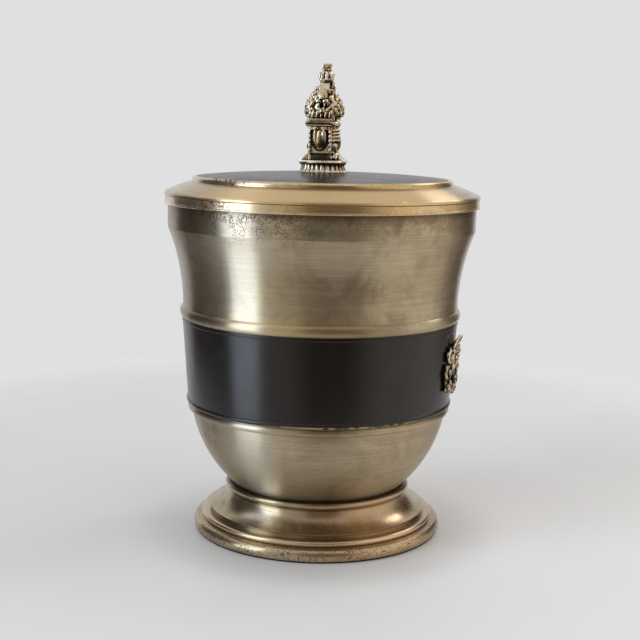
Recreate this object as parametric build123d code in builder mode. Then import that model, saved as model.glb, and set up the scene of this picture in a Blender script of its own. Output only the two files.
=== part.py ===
from build123d import *
import os
from math import atan2, cos, degrees, sqrt, tan

# Lidded ice bucket in spun brass: a moulded foot, a bowl with a dark band and a cast crest, a fixed liner
# packed in foam, and a lift-off lid with a seated lion as its knob. Millimetres, +Z up. The origin is the
# middle of the foot's underside, and the crest faces -Y.

# ---- Driving dimensions ---------------------------------------------------------------------------------

# The collar's outer radius sets the width of the body, foot, liner and lid, which step in or out from it
collar_radius = 80.7

# Heights of the mouldings, stacked from the floor up
pad_thickness = 0.9
foot_rim_height = 5.4
foot_step_height = 0.7
foot_bead_height = 2.9
foot_groove_height = 2.5
foot_cove_height = 9.5
foot_collar_height = 3.5
bowl_height = 39.6
lower_bead_height = 4.3
band_height = 45.3
upper_bead_height = 6.0
waist_height = 41.2
collar_height = 11.9
rim_height = 4.5
lid_gap = 0.2
lid_edge_height = 1.8
lid_rise = 5.1
bezel_height = 2.5
dome_rise = 3.0

# Steps in radius from the collar down to the foot, and the swell of the curves between them
waist_flare = 8.0
upper_bead_proud = 1.6
band_recess = 0.4
band_taper = 3.1
lower_bead_proud = 0.7
bowl_shoulder = 1.5
bowl_taper = 22.2
bowl_bulge = 3.9
foot_inset = 14.3
foot_rim_round = 1.6
foot_step_inset = 5.1
foot_bead_inset = 0.6
foot_groove_depth = 4.3
cove_flare = 1.4
cove_depth = 1.9
cove_margin = 2.1
cove_chamfer = 0.5
foot_collar_proud = 0.4
foot_collar_round = 1.6
foot_collar_lip = 0.2
foot_lip_width = 9.4
pad_inset = 1.2

# Rolls and fine lines on the band and the rim
roll_height = 2.6
roll_proud = 0.75
band_line_drop = 1.9
band_line_height = 0.9
band_line_proud = 0.3
rim_overhang = 1.8
rim_bead_height = 1.1
rim_bead_proud = 0.35
rim_edge_round = 0.5

# Lid
lid_flange_width = 14.3
lid_crown = 0.4
lid_edge_round = 1.6
lid_edge_lift = 0.35
lid_bend = 0.3
bezel_width = 2.7
ledge_width = 10.2
dome_edge_drop = 0.2
dome_shoulder_inset = 18.5
dome_shoulder_drop = 2.9
dome_lift = 0.35
knob_seat_margin = 1.0
pan_clearance = 1.1
pan_depth = 9.0
pan_corner = 2.5
pan_brim = 0.8

# Liner
liner_draft = 0.065
liner_corner_margin = 2.1
floor_foam_thickness = 13.5
wall_foam_thickness = 4.0
flange_clearance = 1.6
mouth_step = 3.9
gasket_thickness = 0.8

# Walls and clearances
foot_wall = 1.6
body_wall = 1.1
band_wall = 0.7
liner_wall = 1.0
rim_wall = 1.8
lid_wall = 0.9
dome_wall = 1.0
snug = 0.05
foam_clearance = 0.2
bolt_clearance = 0.2

# Foot bolt, with its washer and nut, and the knob's stud
foot_bolt_radius = 1.75
foot_bolt_shoulder = 1.8
foot_bolt_head_height = 2.4
foot_bolt_length = 10.0
foot_nut_height = 2.8
bolt_chamfer = 0.3
stud_radius = 2.5
stud_depth_in_knob = 9.0
stud_chamfer = 0.4
knob_nut_shoulder = 2.1
knob_nut_height = 4.0
cap_nut_wall = 0.9
washer_thickness = 1.2
washer_margin = 4.0

# Crest on the band, with its studs, washers and nuts
crest_height = 32.0
crest_back = 1.3
crest_relief = 3.0
scroll_relief = 0.9
ribbon_relief = 1.5
crown_relief = 1.8
field_relief = 1.8
fess_relief = 2.55
crest_lift = 1.2
crest_stud_radius = 1.5
crest_stud_spacing = 17.0
crest_stud_reach = 5.0
crest_stud_root = 1.0
crest_washer_margin = 1.9
crest_washer_thickness = 0.6
crest_nut_shoulder = 1.6
crest_nut_height = 2.2
arms_width = 14.0
arms_height = 17.0
arms_border = 1.3
arms_dip = 0.8
arms_side = 7.65
arms_corner = (5.0, 12.9)
fess_rise = 2.0
fess_height = 3.4
ribbon_radius = 15.5
ribbon_height = 4.6
ribbon_sweep = 96
coronet_width = 13.0
coronet_band_height = 2.4
coronet_arch = 4.2
coronet_bar = 1.3
coronet_points = ((0, 6.0, 1.3), (3.4, 4.8, 1.1), (6.2, 3.4, 1.2))
scrolls = ((9.6, 5.4, 4.0), (11.2, -1.6, 3.7), (8.8, -8.0, 3.4))
scroll_buds = ((13.3, 8.2, 1.5), (14.0, -5.4, 1.3), (7.2, 9.8, 1.6))
scroll_eye = 0.45
# Knob: a fluted foot and a plinth with flared sides
knob_foot_radius = 12.4
knob_neck_radius = 10.2
knob_neck_hollow = 0.7
knob_flange_radius = 12.8
knob_foot_height = 4.7
knob_flange_height = 1.0
flute_count = 26
flute_radius = 1.1
plinth_length = 12.2
plinth_width = 12.4
plinth_height = 4.5
plinth_lip_height = 0.6
plinth_lip_proud = 0.3
flare_width = 24.2
flare_length = 9.6

# Seated lion: its joints are (toward the back, out to the side, up from the plinth), each with a radius
rump = (1.8, 0.0, -0.5)
rump_radius = 5.7
waist = (1.0, 0.0, 11.0)
lion_waist_radius = 4.9
chest_radius = 5.6
hip = (2.6, 4.4, 5.2)
hip_radius = 4.6
knee = (-2.0, 6.2, 3.5)
knee_radius = 2.3
ankle = (-1.4, 7.3, -0.8)
ankle_radius = 1.7
toes = (-4.2, 7.5, -2.0)
toes_radius = 1.5
shoulder = (-0.4, 5.8, 17.6)
shoulder_radius = 2.5
forepaw = (-5.9, 6.0, 14.8)
forepaw_radius = 1.6

# Mane: a core, and rings of curls given as (up from the core's middle, ring radius, curl radius, curls)
mane_height = 23.0
mane_radius = 7.5
mane_rings = ((-2.3, 7.9, 2.6, 11), (1.9, 7.3, 2.4, 10), (5.7, 5.7, 2.1, 8))
face_half_angle = 47
brow_rise = 4.0
brow_radius = 5.4

# Head: lies a little toward -Y of the body
head_lean = 1.2
cheek = (-3.6, 0.0, 26.0)
cheek_radius = 4.9
muzzle = (-7.2, 0.0, 25.4)
muzzle_radius = 2.8
jaw_hinge = (-3.4, 0.0, 21.4)
jaw_hinge_radius = 2.6
jaw_tip = (-7.2, 0.0, 20.8)
jaw_tip_radius = 1.8
forehead = (-2.6, 1.3, 32.6)
nostril = (-7.2, 1.6, 27.4)
bridge_radius = 1.9

# Shield that the forepaws hold, with upright pales between its edges and a moulded head
shield_front = 7.3
shield_thickness = 2.2
shield_width = 12.4
shield_height = 14.8
shield_spring = 4.4
shield_curve = 1.6
moulding_width = 13.8
moulding_height = 3.0
moulding_proud = 0.6
moulding_round = 0.6
pale_count = 3
pale_radius = 1.35
pale_pitch = 2.75
pale_foot = 2.6
pale_slope = 0.5
pale_top_margin = 2.4
pale_proud = 1.0

# Crown and its cross
brow_height = 34.2
crown_foot_radius = 2.7
crown_radius = 3.3
crown_band_height = 2.8
crown_bead_radius = 0.6
crown_lobe_count = 8
crown_lobe_inset = 1.2
crown_lobe_radius = 1.55
crown_lobe_rise = 1.9
cross_top = 45.7
cross_width = 5.0
cross_depth = 2.6
cross_height = 2.2
cross_post_radius = 1.2
cross_lobe_radius = 1.3
cross_lobe_drop = 3.4

# Tail: it comes round one haunch and rises beside the face
tail_root = (6.2, 0.0, 2.5)
tail_bends = ((5.2, -7.2, 6.0), (-1.2, -8.8, 12.0), (-4.4, -6.2, 20.0), (-3.6, -5.4, 29.0))
tail_tip = (0.3, -4.8, 39.4)
tail_radius = 0.9
tail_tip_radius = 1.1

# ---- Levels and radii that follow -----------------------------------------------------------------------

foot_bottom = pad_thickness
foot_rim_top = foot_bottom + foot_rim_height
foot_bead_bottom = foot_rim_top + foot_step_height
foot_bead_top = foot_bead_bottom + foot_bead_height
cove_bottom = foot_bead_top + foot_groove_height
cove_top = cove_bottom + foot_cove_height
bowl_bottom = cove_top + foot_collar_height
bowl_top = bowl_bottom + bowl_height
band_bottom = bowl_top + lower_bead_height
band_top = band_bottom + band_height
waist_bottom = band_top + upper_bead_height
collar_bottom = waist_bottom + waist_height
rim_bottom = collar_bottom + collar_height
rim_top = rim_bottom + rim_height
lid_bottom = rim_top + lid_gap
lid_edge_top = lid_bottom + lid_edge_height
lid_ledge = lid_edge_top + lid_rise
bezel_top = lid_ledge + bezel_height
dome_edge_top = bezel_top - dome_edge_drop
dome_top = dome_edge_top + dome_rise

rim_plate_bottom = rim_top - rim_wall
liner_flange_top = rim_plate_bottom - gasket_thickness
liner_flange_bottom = liner_flange_top - liner_wall
liner_floor_height = bowl_bottom + body_wall + floor_foam_thickness
pan_floor = rim_top - pan_depth

waist_radius = collar_radius - waist_flare
upper_bead_radius = waist_radius + upper_bead_proud
band_seat_top_radius = waist_radius - band_recess
band_seat_bottom_radius = band_seat_top_radius - band_taper
lower_bead_radius = band_seat_bottom_radius + lower_bead_proud
bowl_top_radius = band_seat_bottom_radius - bowl_shoulder
bowl_bottom_radius = bowl_top_radius - bowl_taper

foot_radius = collar_radius - foot_inset
foot_step_radius = foot_radius - foot_step_inset
foot_bead_radius = foot_step_radius - foot_bead_inset
foot_groove_radius = foot_bead_radius - foot_groove_depth
foot_lip_radius = foot_radius - foot_lip_width
cove_bottom_radius = foot_groove_radius + cove_flare
cove_top_radius = bowl_bottom_radius + cove_margin
foot_collar_radius = cove_top_radius + foot_collar_proud

liner_mouth_radius = waist_radius - body_wall - wall_foam_thickness - liner_wall
liner_corner = liner_mouth_radius - bowl_bottom_radius - liner_corner_margin
liner_flange_radius = collar_radius - body_wall - flange_clearance
rim_radius = collar_radius + rim_overhang
rim_mouth_radius = liner_mouth_radius + mouth_step
bezel_radius = rim_radius - lid_flange_width
bezel_inner_radius = bezel_radius - bezel_width
lid_ledge_radius = bezel_radius - ledge_width
dome_radius = bezel_inner_radius - snug
dome_shoulder_radius = bezel_inner_radius - dome_shoulder_inset
knob_seat_radius = knob_foot_radius + knob_seat_margin
pan_radius = liner_mouth_radius - pan_clearance
pan_floor_top = pan_floor + liner_wall

foot_bolt_head_radius = foot_bolt_radius + foot_bolt_shoulder
foot_washer_radius = foot_bolt_radius + washer_margin
foot_washer_top = bowl_bottom - foot_wall
knob_nut_radius = stud_radius + knob_nut_shoulder
cap_nut_dome = stud_radius + cap_nut_wall
stud_washer_radius = stud_radius + washer_margin
stud_washer_top = pan_floor
stud_bottom = stud_washer_top - washer_thickness - knob_nut_height - snug
crest_washer_radius = crest_stud_radius + crest_washer_margin
crest_nut_radius = crest_stud_radius + crest_nut_shoulder

cone_slope = band_taper / band_height
band_middle = (band_bottom + band_top) / 2
crest_middle = band_middle + crest_lift
crest_top = crest_middle + crest_height / 2
crest_foot = crest_middle - crest_height / 2
crest_stud_levels = (band_middle - crest_stud_spacing / 2, band_middle + crest_stud_spacing / 2)
shield_top = crest_middle + arms_height / 2
shield_point = shield_top - arms_height

flange_bottom = dome_top + knob_foot_height
flange_top = flange_bottom + knob_flange_height
plinth_top = flange_top + plinth_height


def seat_radius(z):
    """Radius of the cone that the band is wrapped on, at height z."""
    return band_seat_bottom_radius + cone_slope * (z - band_bottom)


def body_curve(inset, bottom, top):
    """The body's smooth half section, moved in by inset, closed along the axis between two heights."""
    with BuildLine() as curve:
        Line((0, bottom), (bowl_bottom_radius - inset, bottom))
        SagittaArc((bowl_bottom_radius - inset, bottom), (bowl_top_radius - inset, bowl_top), -bowl_bulge)
        Line((bowl_top_radius - inset, bowl_top), (band_seat_bottom_radius - inset, band_bottom))
        Line((band_seat_bottom_radius - inset, band_bottom), (band_seat_top_radius - inset, band_top))
        Line((band_seat_top_radius - inset, band_top), (waist_radius - inset, waist_bottom))
        waist_foot = (waist_radius - inset, waist_bottom)
        TangentArc(waist_foot, (collar_radius - inset, collar_bottom), tangent=(0, 1))
        Line((collar_radius - inset, collar_bottom), (collar_radius - inset, top))
        Line((collar_radius - inset, top), (0, top))
        Line((0, top), (0, bottom))
    return curve.line


def liner_curve(outset, bottom, top):
    """The liner's inner half section, moved out by outset, closed along the axis between two heights."""
    mouth = liner_mouth_radius + outset
    corner = liner_corner + outset
    corner_top = bottom + corner
    wall_foot = mouth - liner_draft * (top - corner_top)
    with BuildLine() as curve:
        Line((0, bottom), (wall_foot - corner, bottom))
        RadiusArc((wall_foot - corner, bottom), (wall_foot, corner_top), -corner)
        Line((wall_foot, corner_top), (mouth, top))
        Line((mouth, top), (0, top))
        Line((0, top), (0, bottom))
    return curve.line


def bead_curve(base_radius, top_radius, bottom, top):
    """Section of a half-round bead that stands on a wall, from its foot radius to its crown."""
    with BuildLine() as curve:
        ThreePointArc((base_radius, bottom), (top_radius, (bottom + top) / 2), (base_radius, top))
        Line((base_radius, top), (base_radius - 0.5, top))
        Line((base_radius - 0.5, top), (base_radius - 0.5, bottom))
        Line((base_radius - 0.5, bottom), (base_radius, bottom))
    return curve.line


os.makedirs("parts", exist_ok=True)

# ---- Foot ------------------------------------------------------------------------------------------------

# Felt disc, glued across the foot's turned-in lip
with BuildPart() as foot_pad:
    with BuildSketch():
        Circle(foot_radius - pad_inset)
    extrude(amount=pad_thickness)
foot_pad.part.label = "foot_pad"
export_step(foot_pad.part, "parts/foot_pad.step")

# Spun foot: rounded rim, bead, groove, cove and collar, hollow from below
with BuildPart() as foot:
    with BuildSketch(Plane.XZ):
        with BuildLine():
            Line((0, foot_bottom), (foot_radius - foot_rim_round / 2, foot_bottom))
            ThreePointArc(
                (foot_radius - foot_rim_round / 2, foot_bottom),
                (foot_radius, foot_bottom + foot_rim_height * 0.45),
                (foot_radius - foot_rim_round, foot_rim_top),
            )
            Line((foot_radius - foot_rim_round, foot_rim_top), (foot_step_radius, foot_bead_bottom))
            ThreePointArc(
                (foot_step_radius, foot_bead_bottom),
                (foot_bead_radius + foot_bead_height / 2, (foot_bead_bottom + foot_bead_top) / 2),
                (foot_bead_radius, foot_bead_top),
            )
            Line((foot_bead_radius, foot_bead_top), (foot_groove_radius, foot_bead_top))
            Line((foot_groove_radius, foot_bead_top), (foot_groove_radius, cove_bottom - cove_chamfer))
            Line((foot_groove_radius, cove_bottom - cove_chamfer), (cove_bottom_radius, cove_bottom))
            SagittaArc((cove_bottom_radius, cove_bottom), (cove_top_radius, cove_top), cove_depth)
            Line((cove_top_radius, cove_top), (foot_collar_radius, cove_top + foot_collar_lip))
            ThreePointArc(
                (foot_collar_radius, cove_top + foot_collar_lip),
                (foot_collar_radius + foot_collar_height * 0.4, cove_top + foot_collar_height * 0.5),
                (foot_collar_radius - foot_collar_round, bowl_bottom),
            )
            Line((foot_collar_radius - foot_collar_round, bowl_bottom), (0, bowl_bottom))
            Line((0, bowl_bottom), (0, foot_bottom))
        make_face()
    revolve(axis=Axis.Z)
    with BuildSketch(Plane.XZ):
        with BuildLine():
            Polyline(
                (0, foot_bottom),
                (foot_lip_radius, foot_bottom),
                (foot_lip_radius, foot_bottom + foot_wall),
                (foot_radius - foot_rim_round - foot_wall, foot_bottom + foot_wall),
                (foot_radius - foot_rim_round - foot_wall, foot_rim_top - foot_wall),
                (foot_step_radius - foot_wall, foot_bead_bottom - foot_wall),
                (foot_groove_radius - foot_wall, foot_bead_top - foot_wall),
                (foot_groove_radius - foot_wall, cove_bottom - foot_wall / 2),
            )
            SagittaArc(
                (foot_groove_radius - foot_wall, cove_bottom - foot_wall / 2),
                (cove_top_radius - foot_wall, cove_top),
                cove_depth,
            )
            Polyline(
                (cove_top_radius - foot_wall, cove_top),
                (cove_top_radius - foot_wall, bowl_bottom - foot_wall),
                (0, bowl_bottom - foot_wall),
                (0, foot_bottom),
            )
        make_face()
    revolve(axis=Axis.Z, mode=Mode.SUBTRACT)
    with BuildSketch(Plane.XY.offset(bowl_bottom)):
        Circle(foot_bolt_radius + bolt_clearance)
    extrude(amount=-foot_wall * 2, mode=Mode.SUBTRACT)
foot.part.label = "foot"
export_step(foot.part, "parts/foot.step")

# ---- Body ------------------------------------------------------------------------------------------------

def crest_washer_seat(level):
    """Distance from the axis at which a flat washer meets the inside of the shell, at height level."""
    narrow = seat_radius(level - crest_washer_radius) - body_wall
    return sqrt(narrow**2 - crest_washer_radius**2) - snug


# Spun shell: bowl, two beads that border the band, flaring waist and straight collar
with BuildPart() as body_shell:
    with BuildSketch(Plane.XZ):
        make_face(body_curve(0, bowl_bottom, rim_plate_bottom))
    revolve(axis=Axis.Z)
    with BuildSketch(Plane.XZ):
        make_face(bead_curve(bowl_top_radius + 0.5, lower_bead_radius, bowl_top, band_bottom))
    revolve(axis=Axis.Z)
    with BuildSketch(Plane.XZ):
        make_face(bead_curve(waist_radius, upper_bead_radius, band_top, waist_bottom))
    revolve(axis=Axis.Z)
    with BuildSketch(Plane.XZ):
        make_face(body_curve(body_wall, bowl_bottom + body_wall, rim_plate_bottom))
    revolve(axis=Axis.Z, mode=Mode.SUBTRACT)
    with BuildSketch(Plane.XY.offset(bowl_bottom)):
        Circle(foot_bolt_radius + bolt_clearance)
    extrude(amount=body_wall * 2, mode=Mode.SUBTRACT)
    with BuildSketch(Plane.XZ):
        for level in crest_stud_levels:
            with Locations((0, level)):
                Circle(crest_stud_radius + snug)
    extrude(amount=collar_radius, mode=Mode.SUBTRACT)
body_shell.part.label = "body_shell"
export_step(body_shell.part, "parts/body_shell.step")

# Lacquered sleeve between the two beads, with a rolled lower edge and a fine line under its upper edge
with BuildPart() as band:
    with BuildSketch(Plane.XZ):
        with BuildLine():
            Polyline(
                (band_seat_bottom_radius + snug, band_bottom + snug),
                (band_seat_bottom_radius + band_wall, band_bottom + snug),
                (band_seat_top_radius + band_wall, band_top - snug),
                (band_seat_top_radius + snug, band_top - snug),
                close=True,
            )
        make_face()
    revolve(axis=Axis.Z)
    for level, height, proud in (
        (band_bottom + snug, roll_height, roll_proud),
        (band_top - band_line_drop, band_line_height, band_line_proud),
    ):
        edge = seat_radius(level + height / 2) + band_wall
        with BuildSketch(Plane.XZ):
            make_face(bead_curve(edge - snug, edge + proud, level, level + height))
        revolve(axis=Axis.Z)
    with BuildSketch(Plane.XZ):
        for level in crest_stud_levels:
            with Locations((0, level)):
                Circle(crest_stud_radius + snug)
    extrude(amount=collar_radius, mode=Mode.SUBTRACT)
band.part.label = "band"
export_step(band.part, "parts/band.step")

# Rim ring: a plate over the liner's flange, with a skirt down the outside of the collar
with BuildPart() as rim_ring:
    with BuildSketch(Plane.XZ):
        with BuildLine():
            Polyline(
                (rim_mouth_radius, rim_plate_bottom),
                (collar_radius + snug, rim_plate_bottom),
                (collar_radius + snug, rim_bottom),
                (rim_radius - rim_bead_proud, rim_bottom),
                (rim_radius - rim_bead_proud, rim_top),
                (rim_mouth_radius, rim_top),
                close=True,
            )
        make_face()
    revolve(axis=Axis.Z)
    with BuildSketch(Plane.XZ):
        rim_bead_top = rim_bottom + rim_bead_height
        make_face(bead_curve(rim_radius - rim_bead_proud, rim_radius, rim_bottom, rim_bead_top))
    revolve(axis=Axis.Z)
    fillet(rim_ring.edges().filter_by(GeomType.CIRCLE).group_by(Axis.Z)[-1], rim_edge_round)
rim_ring.part.label = "rim_ring"
export_step(rim_ring.part, "parts/rim_ring.step")

# Rubber ring between the liner's flange and the rim ring
with BuildPart() as rim_gasket:
    with BuildSketch(Plane.XY.offset(liner_flange_top)):
        Circle(liner_flange_radius)
        Circle(rim_mouth_radius - snug, mode=Mode.SUBTRACT)
    extrude(amount=gasket_thickness)
rim_gasket.part.label = "rim_gasket"
export_step(rim_gasket.part, "parts/rim_gasket.step")

# Liner: a drawn pan with a drafted wall, a rounded floor and a flange that hangs it in the body
with BuildPart() as liner:
    with BuildSketch(Plane.XZ):
        make_face(liner_curve(liner_wall, liner_floor_height, liner_flange_top))
    revolve(axis=Axis.Z)
    with BuildSketch(Plane.XY.offset(liner_flange_bottom)):
        Circle(liner_flange_radius)
    extrude(amount=liner_wall)
    with BuildSketch(Plane.XZ):
        make_face(liner_curve(0, liner_floor_height + liner_wall, liner_flange_top))
    revolve(axis=Axis.Z, mode=Mode.SUBTRACT)
liner.part.label = "liner"
export_step(liner.part, "parts/liner.step")

# Foam between the shell and the liner, up to the liner's flange, with room for the fixings
with BuildPart() as insulation:
    with BuildSketch(Plane.XZ):
        make_face(
            body_curve(
                body_wall + foam_clearance,
                bowl_bottom + body_wall + foam_clearance,
                liner_flange_bottom - foam_clearance,
            )
        )
    revolve(axis=Axis.Z)
    with BuildSketch(Plane.XZ):
        make_face(
            liner_curve(
                liner_wall + foam_clearance,
                liner_floor_height - foam_clearance,
                liner_flange_top,
            )
        )
    revolve(axis=Axis.Z, mode=Mode.SUBTRACT)
    with BuildSketch(Plane.XY.offset(bowl_bottom)):
        Circle(foot_bolt_head_radius + 2 * foam_clearance)
    extrude(amount=body_wall + foot_bolt_head_height + 2 * foam_clearance, mode=Mode.SUBTRACT)
    for level in crest_stud_levels:
        with BuildSketch(Plane.XZ.offset(crest_washer_seat(level) - crest_stud_reach - foam_clearance)):
            with Locations((0, level)):
                Circle(crest_washer_radius + foam_clearance)
        extrude(amount=crest_stud_reach * 2, mode=Mode.SUBTRACT)
insulation.part.label = "insulation"
export_step(insulation.part, "parts/insulation.step")

# Bolt through the bowl's floor and the foot's top, with its washer and nut inside the foot
with BuildPart() as foot_bolt:
    with BuildSketch(Plane.XY.offset(bowl_bottom + body_wall)):
        RegularPolygon(foot_bolt_head_radius, 6)
    extrude(amount=foot_bolt_head_height)
    chamfer(foot_bolt.faces().sort_by(Axis.Z)[-1].edges(), bolt_chamfer)
    with BuildSketch(Plane.XY.offset(bowl_bottom + body_wall)):
        Circle(foot_bolt_radius)
    extrude(amount=-foot_bolt_length)
    chamfer(foot_bolt.faces().sort_by(Axis.Z)[0].edges(), bolt_chamfer)
foot_bolt.part.label = "foot_bolt"
export_step(foot_bolt.part, "parts/foot_bolt.step")

with BuildPart() as foot_washer:
    with BuildSketch(Plane.XY.offset(foot_washer_top - washer_thickness)):
        Circle(foot_washer_radius)
        Circle(foot_bolt_radius + bolt_clearance, mode=Mode.SUBTRACT)
    extrude(amount=washer_thickness)
foot_washer.part.label = "foot_washer"
export_step(foot_washer.part, "parts/foot_washer.step")

with BuildPart() as foot_nut:
    with BuildSketch(Plane.XY.offset(foot_washer_top - washer_thickness - foot_nut_height)):
        RegularPolygon(foot_bolt_head_radius, 6)
        Circle(foot_bolt_radius + snug, mode=Mode.SUBTRACT)
    extrude(amount=foot_nut_height)
foot_nut.part.label = "foot_nut"
export_step(foot_nut.part, "parts/foot_nut.step")

# ---- Crest on the band -----------------------------------------------------------------------------------


def on_band(outline, back, front):
    """An outline on Plane.XZ, made into a plate bent round the band, from back to front above the band."""
    low = crest_foot - crest_height
    high = crest_top + crest_height
    with BuildPart(mode=Mode.PRIVATE) as plate:
        extrude(outline, amount=rim_radius * 2)
        with BuildSketch(Plane.XZ):
            with BuildLine():
                Polyline(
                    (seat_radius(low) + band_wall + back, low),
                    (seat_radius(low) + band_wall + front, low),
                    (seat_radius(high) + band_wall + front, high),
                    (seat_radius(high) + band_wall + back, high),
                    close=True,
                )
            make_face()
        revolve(axis=Axis.Z, mode=Mode.INTERSECT)
    return plate.part


def arc_band(middle, radius, breadth, start, sweep):
    """Outline of a strip bent round an arc."""
    with BuildLine() as strip:
        outer = CenterArc(middle, radius + breadth / 2, start, sweep)
        inner = CenterArc(middle, radius - breadth / 2, start, sweep)
        Line(outer @ 0, inner @ 0)
        Line(outer @ 1, inner @ 1)
    return strip.line


# Scrolled leaves each side of the arms, as C-scrolls that leave the band showing between them
with BuildSketch(Plane.XZ) as scroll_outline:
    for side in (-1, 1):
        for x, z, radius in scrolls:
            with Locations((side * x, crest_middle + z)):
                Circle(radius)
                Circle(radius * scroll_eye, mode=Mode.SUBTRACT)
        for x, z, radius in scroll_buds:
            with Locations((side * x, crest_middle + z)):
                Circle(radius)

with BuildSketch(Plane.XZ) as arms_outline:
    with BuildLine():
        Polyline(
            (0, shield_top - arms_dip),
            (arms_width / 2, shield_top),
            (arms_width / 2, shield_top - arms_side),
        )
        ThreePointArc(
            (arms_width / 2, shield_top - arms_side),
            (arms_corner[0], shield_top - arms_corner[1]),
            (0, shield_point),
        )
        mirror(about=Plane.YZ)
    make_face()

with BuildSketch(Plane.XZ) as arms_field:
    offset(arms_outline.sketch_local, -arms_border)

with BuildSketch(Plane.XZ) as arms_fess:
    with Locations((0, crest_middle + fess_rise)):
        Rectangle(arms_width - arms_border, fess_height)

with BuildSketch(Plane.XZ) as ribbon_outline:
    ribbon_middle = (0, crest_foot + ribbon_radius + ribbon_height / 2)
    make_face(arc_band(ribbon_middle, ribbon_radius, ribbon_height, 270 - ribbon_sweep / 2, ribbon_sweep))

with BuildSketch(Plane.XZ) as crown_outline:
    with Locations((0, shield_top + coronet_band_height / 2)):
        Rectangle(coronet_width, coronet_band_height)
    for x, z, radius in coronet_points:
        for side in (-1, 1):
            with Locations((side * x, shield_top + z)):
                Circle(radius)
    make_face(arc_band((0, shield_top + coronet_band_height), coronet_arch, coronet_bar, 0, 180))
    with Locations((0, shield_top + coronet_band_height)):
        Rectangle(coronet_bar, coronet_arch, align=(Align.CENTER, Align.MIN))

# Cast crest: leaf scrolls, ribbon, coronet and shield at rising heights, with two studs on its back
with BuildPart() as medallion:
    add(on_band(scroll_outline.sketch, snug, crest_back + scroll_relief))
    add(on_band(ribbon_outline.sketch, snug, crest_back + ribbon_relief))
    add(on_band(crown_outline.sketch, snug, crest_back + crown_relief))
    add(on_band(arms_outline.sketch, snug, crest_back + crest_relief))
    field_cut = on_band(arms_field.sketch, crest_back + field_relief, crest_back + 2 * crest_relief)
    add(field_cut, mode=Mode.SUBTRACT)
    add(on_band(arms_fess.sketch, crest_back, crest_back + fess_relief))
    for level in crest_stud_levels:
        with BuildSketch(Plane.XZ.offset(crest_washer_seat(level) - crest_stud_reach)):
            with Locations((0, level)):
                Circle(crest_stud_radius)
        extrude(amount=crest_stud_reach + body_wall + band_wall + crest_back + crest_stud_root)
medallion.part.label = "medallion"
export_step(medallion.part, "parts/medallion.step")

with BuildPart() as medallion_washers:
    for level in crest_stud_levels:
        with BuildSketch(Plane.XZ.offset(crest_washer_seat(level) - crest_washer_thickness)):
            with Locations((0, level)):
                Circle(crest_washer_radius)
                Circle(crest_stud_radius + snug, mode=Mode.SUBTRACT)
        extrude(amount=crest_washer_thickness)
medallion_washers.part.label = "medallion_washers"
export_step(medallion_washers.part, "parts/medallion_washers.step")

with BuildPart() as medallion_nuts:
    for level in crest_stud_levels:
        nut_back = crest_washer_seat(level) - crest_washer_thickness - crest_nut_height
        with BuildSketch(Plane.XZ.offset(nut_back)):
            with Locations((0, level)):
                RegularPolygon(crest_nut_radius, 6)
                Circle(crest_stud_radius + snug, mode=Mode.SUBTRACT)
        extrude(amount=crest_nut_height)
medallion_nuts.part.label = "medallion_nuts"
export_step(medallion_nuts.part, "parts/medallion_nuts.step")

# ---- Lid -------------------------------------------------------------------------------------------------

# Spun lid: rolled edge, rising flange and the flat ledge that carries the dome
with BuildPart() as lid_shell:
    with BuildSketch(Plane.XZ):
        with BuildLine():
            Line((rim_radius - lid_wall, lid_bottom), (rim_radius, lid_bottom))
            Line((rim_radius, lid_bottom), (rim_radius, lid_edge_top - lid_edge_height / 2))
            ThreePointArc(
                (rim_radius, lid_edge_top - lid_edge_height / 2),
                (rim_radius - 0.5, lid_edge_top - 0.2),
                (rim_radius - lid_edge_round, lid_edge_top + lid_edge_lift),
            )
            SagittaArc(
                (rim_radius - lid_edge_round, lid_edge_top + lid_edge_lift),
                (bezel_radius, lid_ledge),
                -lid_crown,
            )
            Line((bezel_radius, lid_ledge), (lid_ledge_radius, lid_ledge))
            Line((lid_ledge_radius, lid_ledge), (lid_ledge_radius, lid_ledge - lid_wall))
            Line((lid_ledge_radius, lid_ledge - lid_wall), (bezel_radius - lid_bend, lid_ledge - lid_wall))
            SagittaArc(
                (bezel_radius - lid_bend, lid_ledge - lid_wall),
                (rim_radius - lid_wall, lid_edge_top - lid_wall / 2),
                lid_crown,
            )
            Line((rim_radius - lid_wall, lid_edge_top - lid_wall / 2), (rim_radius - lid_wall, lid_bottom))
        make_face()
    revolve(axis=Axis.Z)
lid_shell.part.label = "lid_shell"
export_step(lid_shell.part, "parts/lid_shell.step")

# Half-round ring that holds down the dome's edge
with BuildPart() as lid_bezel:
    with BuildSketch(Plane.XZ):
        with BuildLine():
            Line((bezel_inner_radius, lid_ledge), (bezel_radius, lid_ledge))
            Line((bezel_radius, lid_ledge), (bezel_radius, lid_ledge + bezel_height * 0.4))
            ThreePointArc(
                (bezel_radius, lid_ledge + bezel_height * 0.4),
                (bezel_radius - bezel_width * 0.45, bezel_top),
                (bezel_inner_radius, dome_edge_top),
            )
            Line((bezel_inner_radius, dome_edge_top), (bezel_inner_radius, lid_ledge))
        make_face()
    revolve(axis=Axis.Z)
lid_bezel.part.label = "lid_bezel"
export_step(lid_bezel.part, "parts/lid_bezel.step")


def dome_curve(drop):
    """The dome's ogee half section, lowered by drop, closed down to the ledge and along the axis."""
    seat_top = dome_top - drop
    with BuildLine() as curve:
        Line((0, seat_top), (knob_seat_radius, seat_top))
        Spline(
            (knob_seat_radius, seat_top),
            (dome_shoulder_radius, dome_top - dome_shoulder_drop + dome_lift - drop),
            (dome_radius - drop, dome_edge_top - drop),
            tangents=((1, -0.12), (1, -0.015)),
        )
        Line((dome_radius - drop, dome_edge_top - drop), (dome_radius - drop, lid_ledge))
        Line((dome_radius - drop, lid_ledge), (0, lid_ledge))
        Line((0, lid_ledge), (0, seat_top))
    return curve.line


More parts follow.
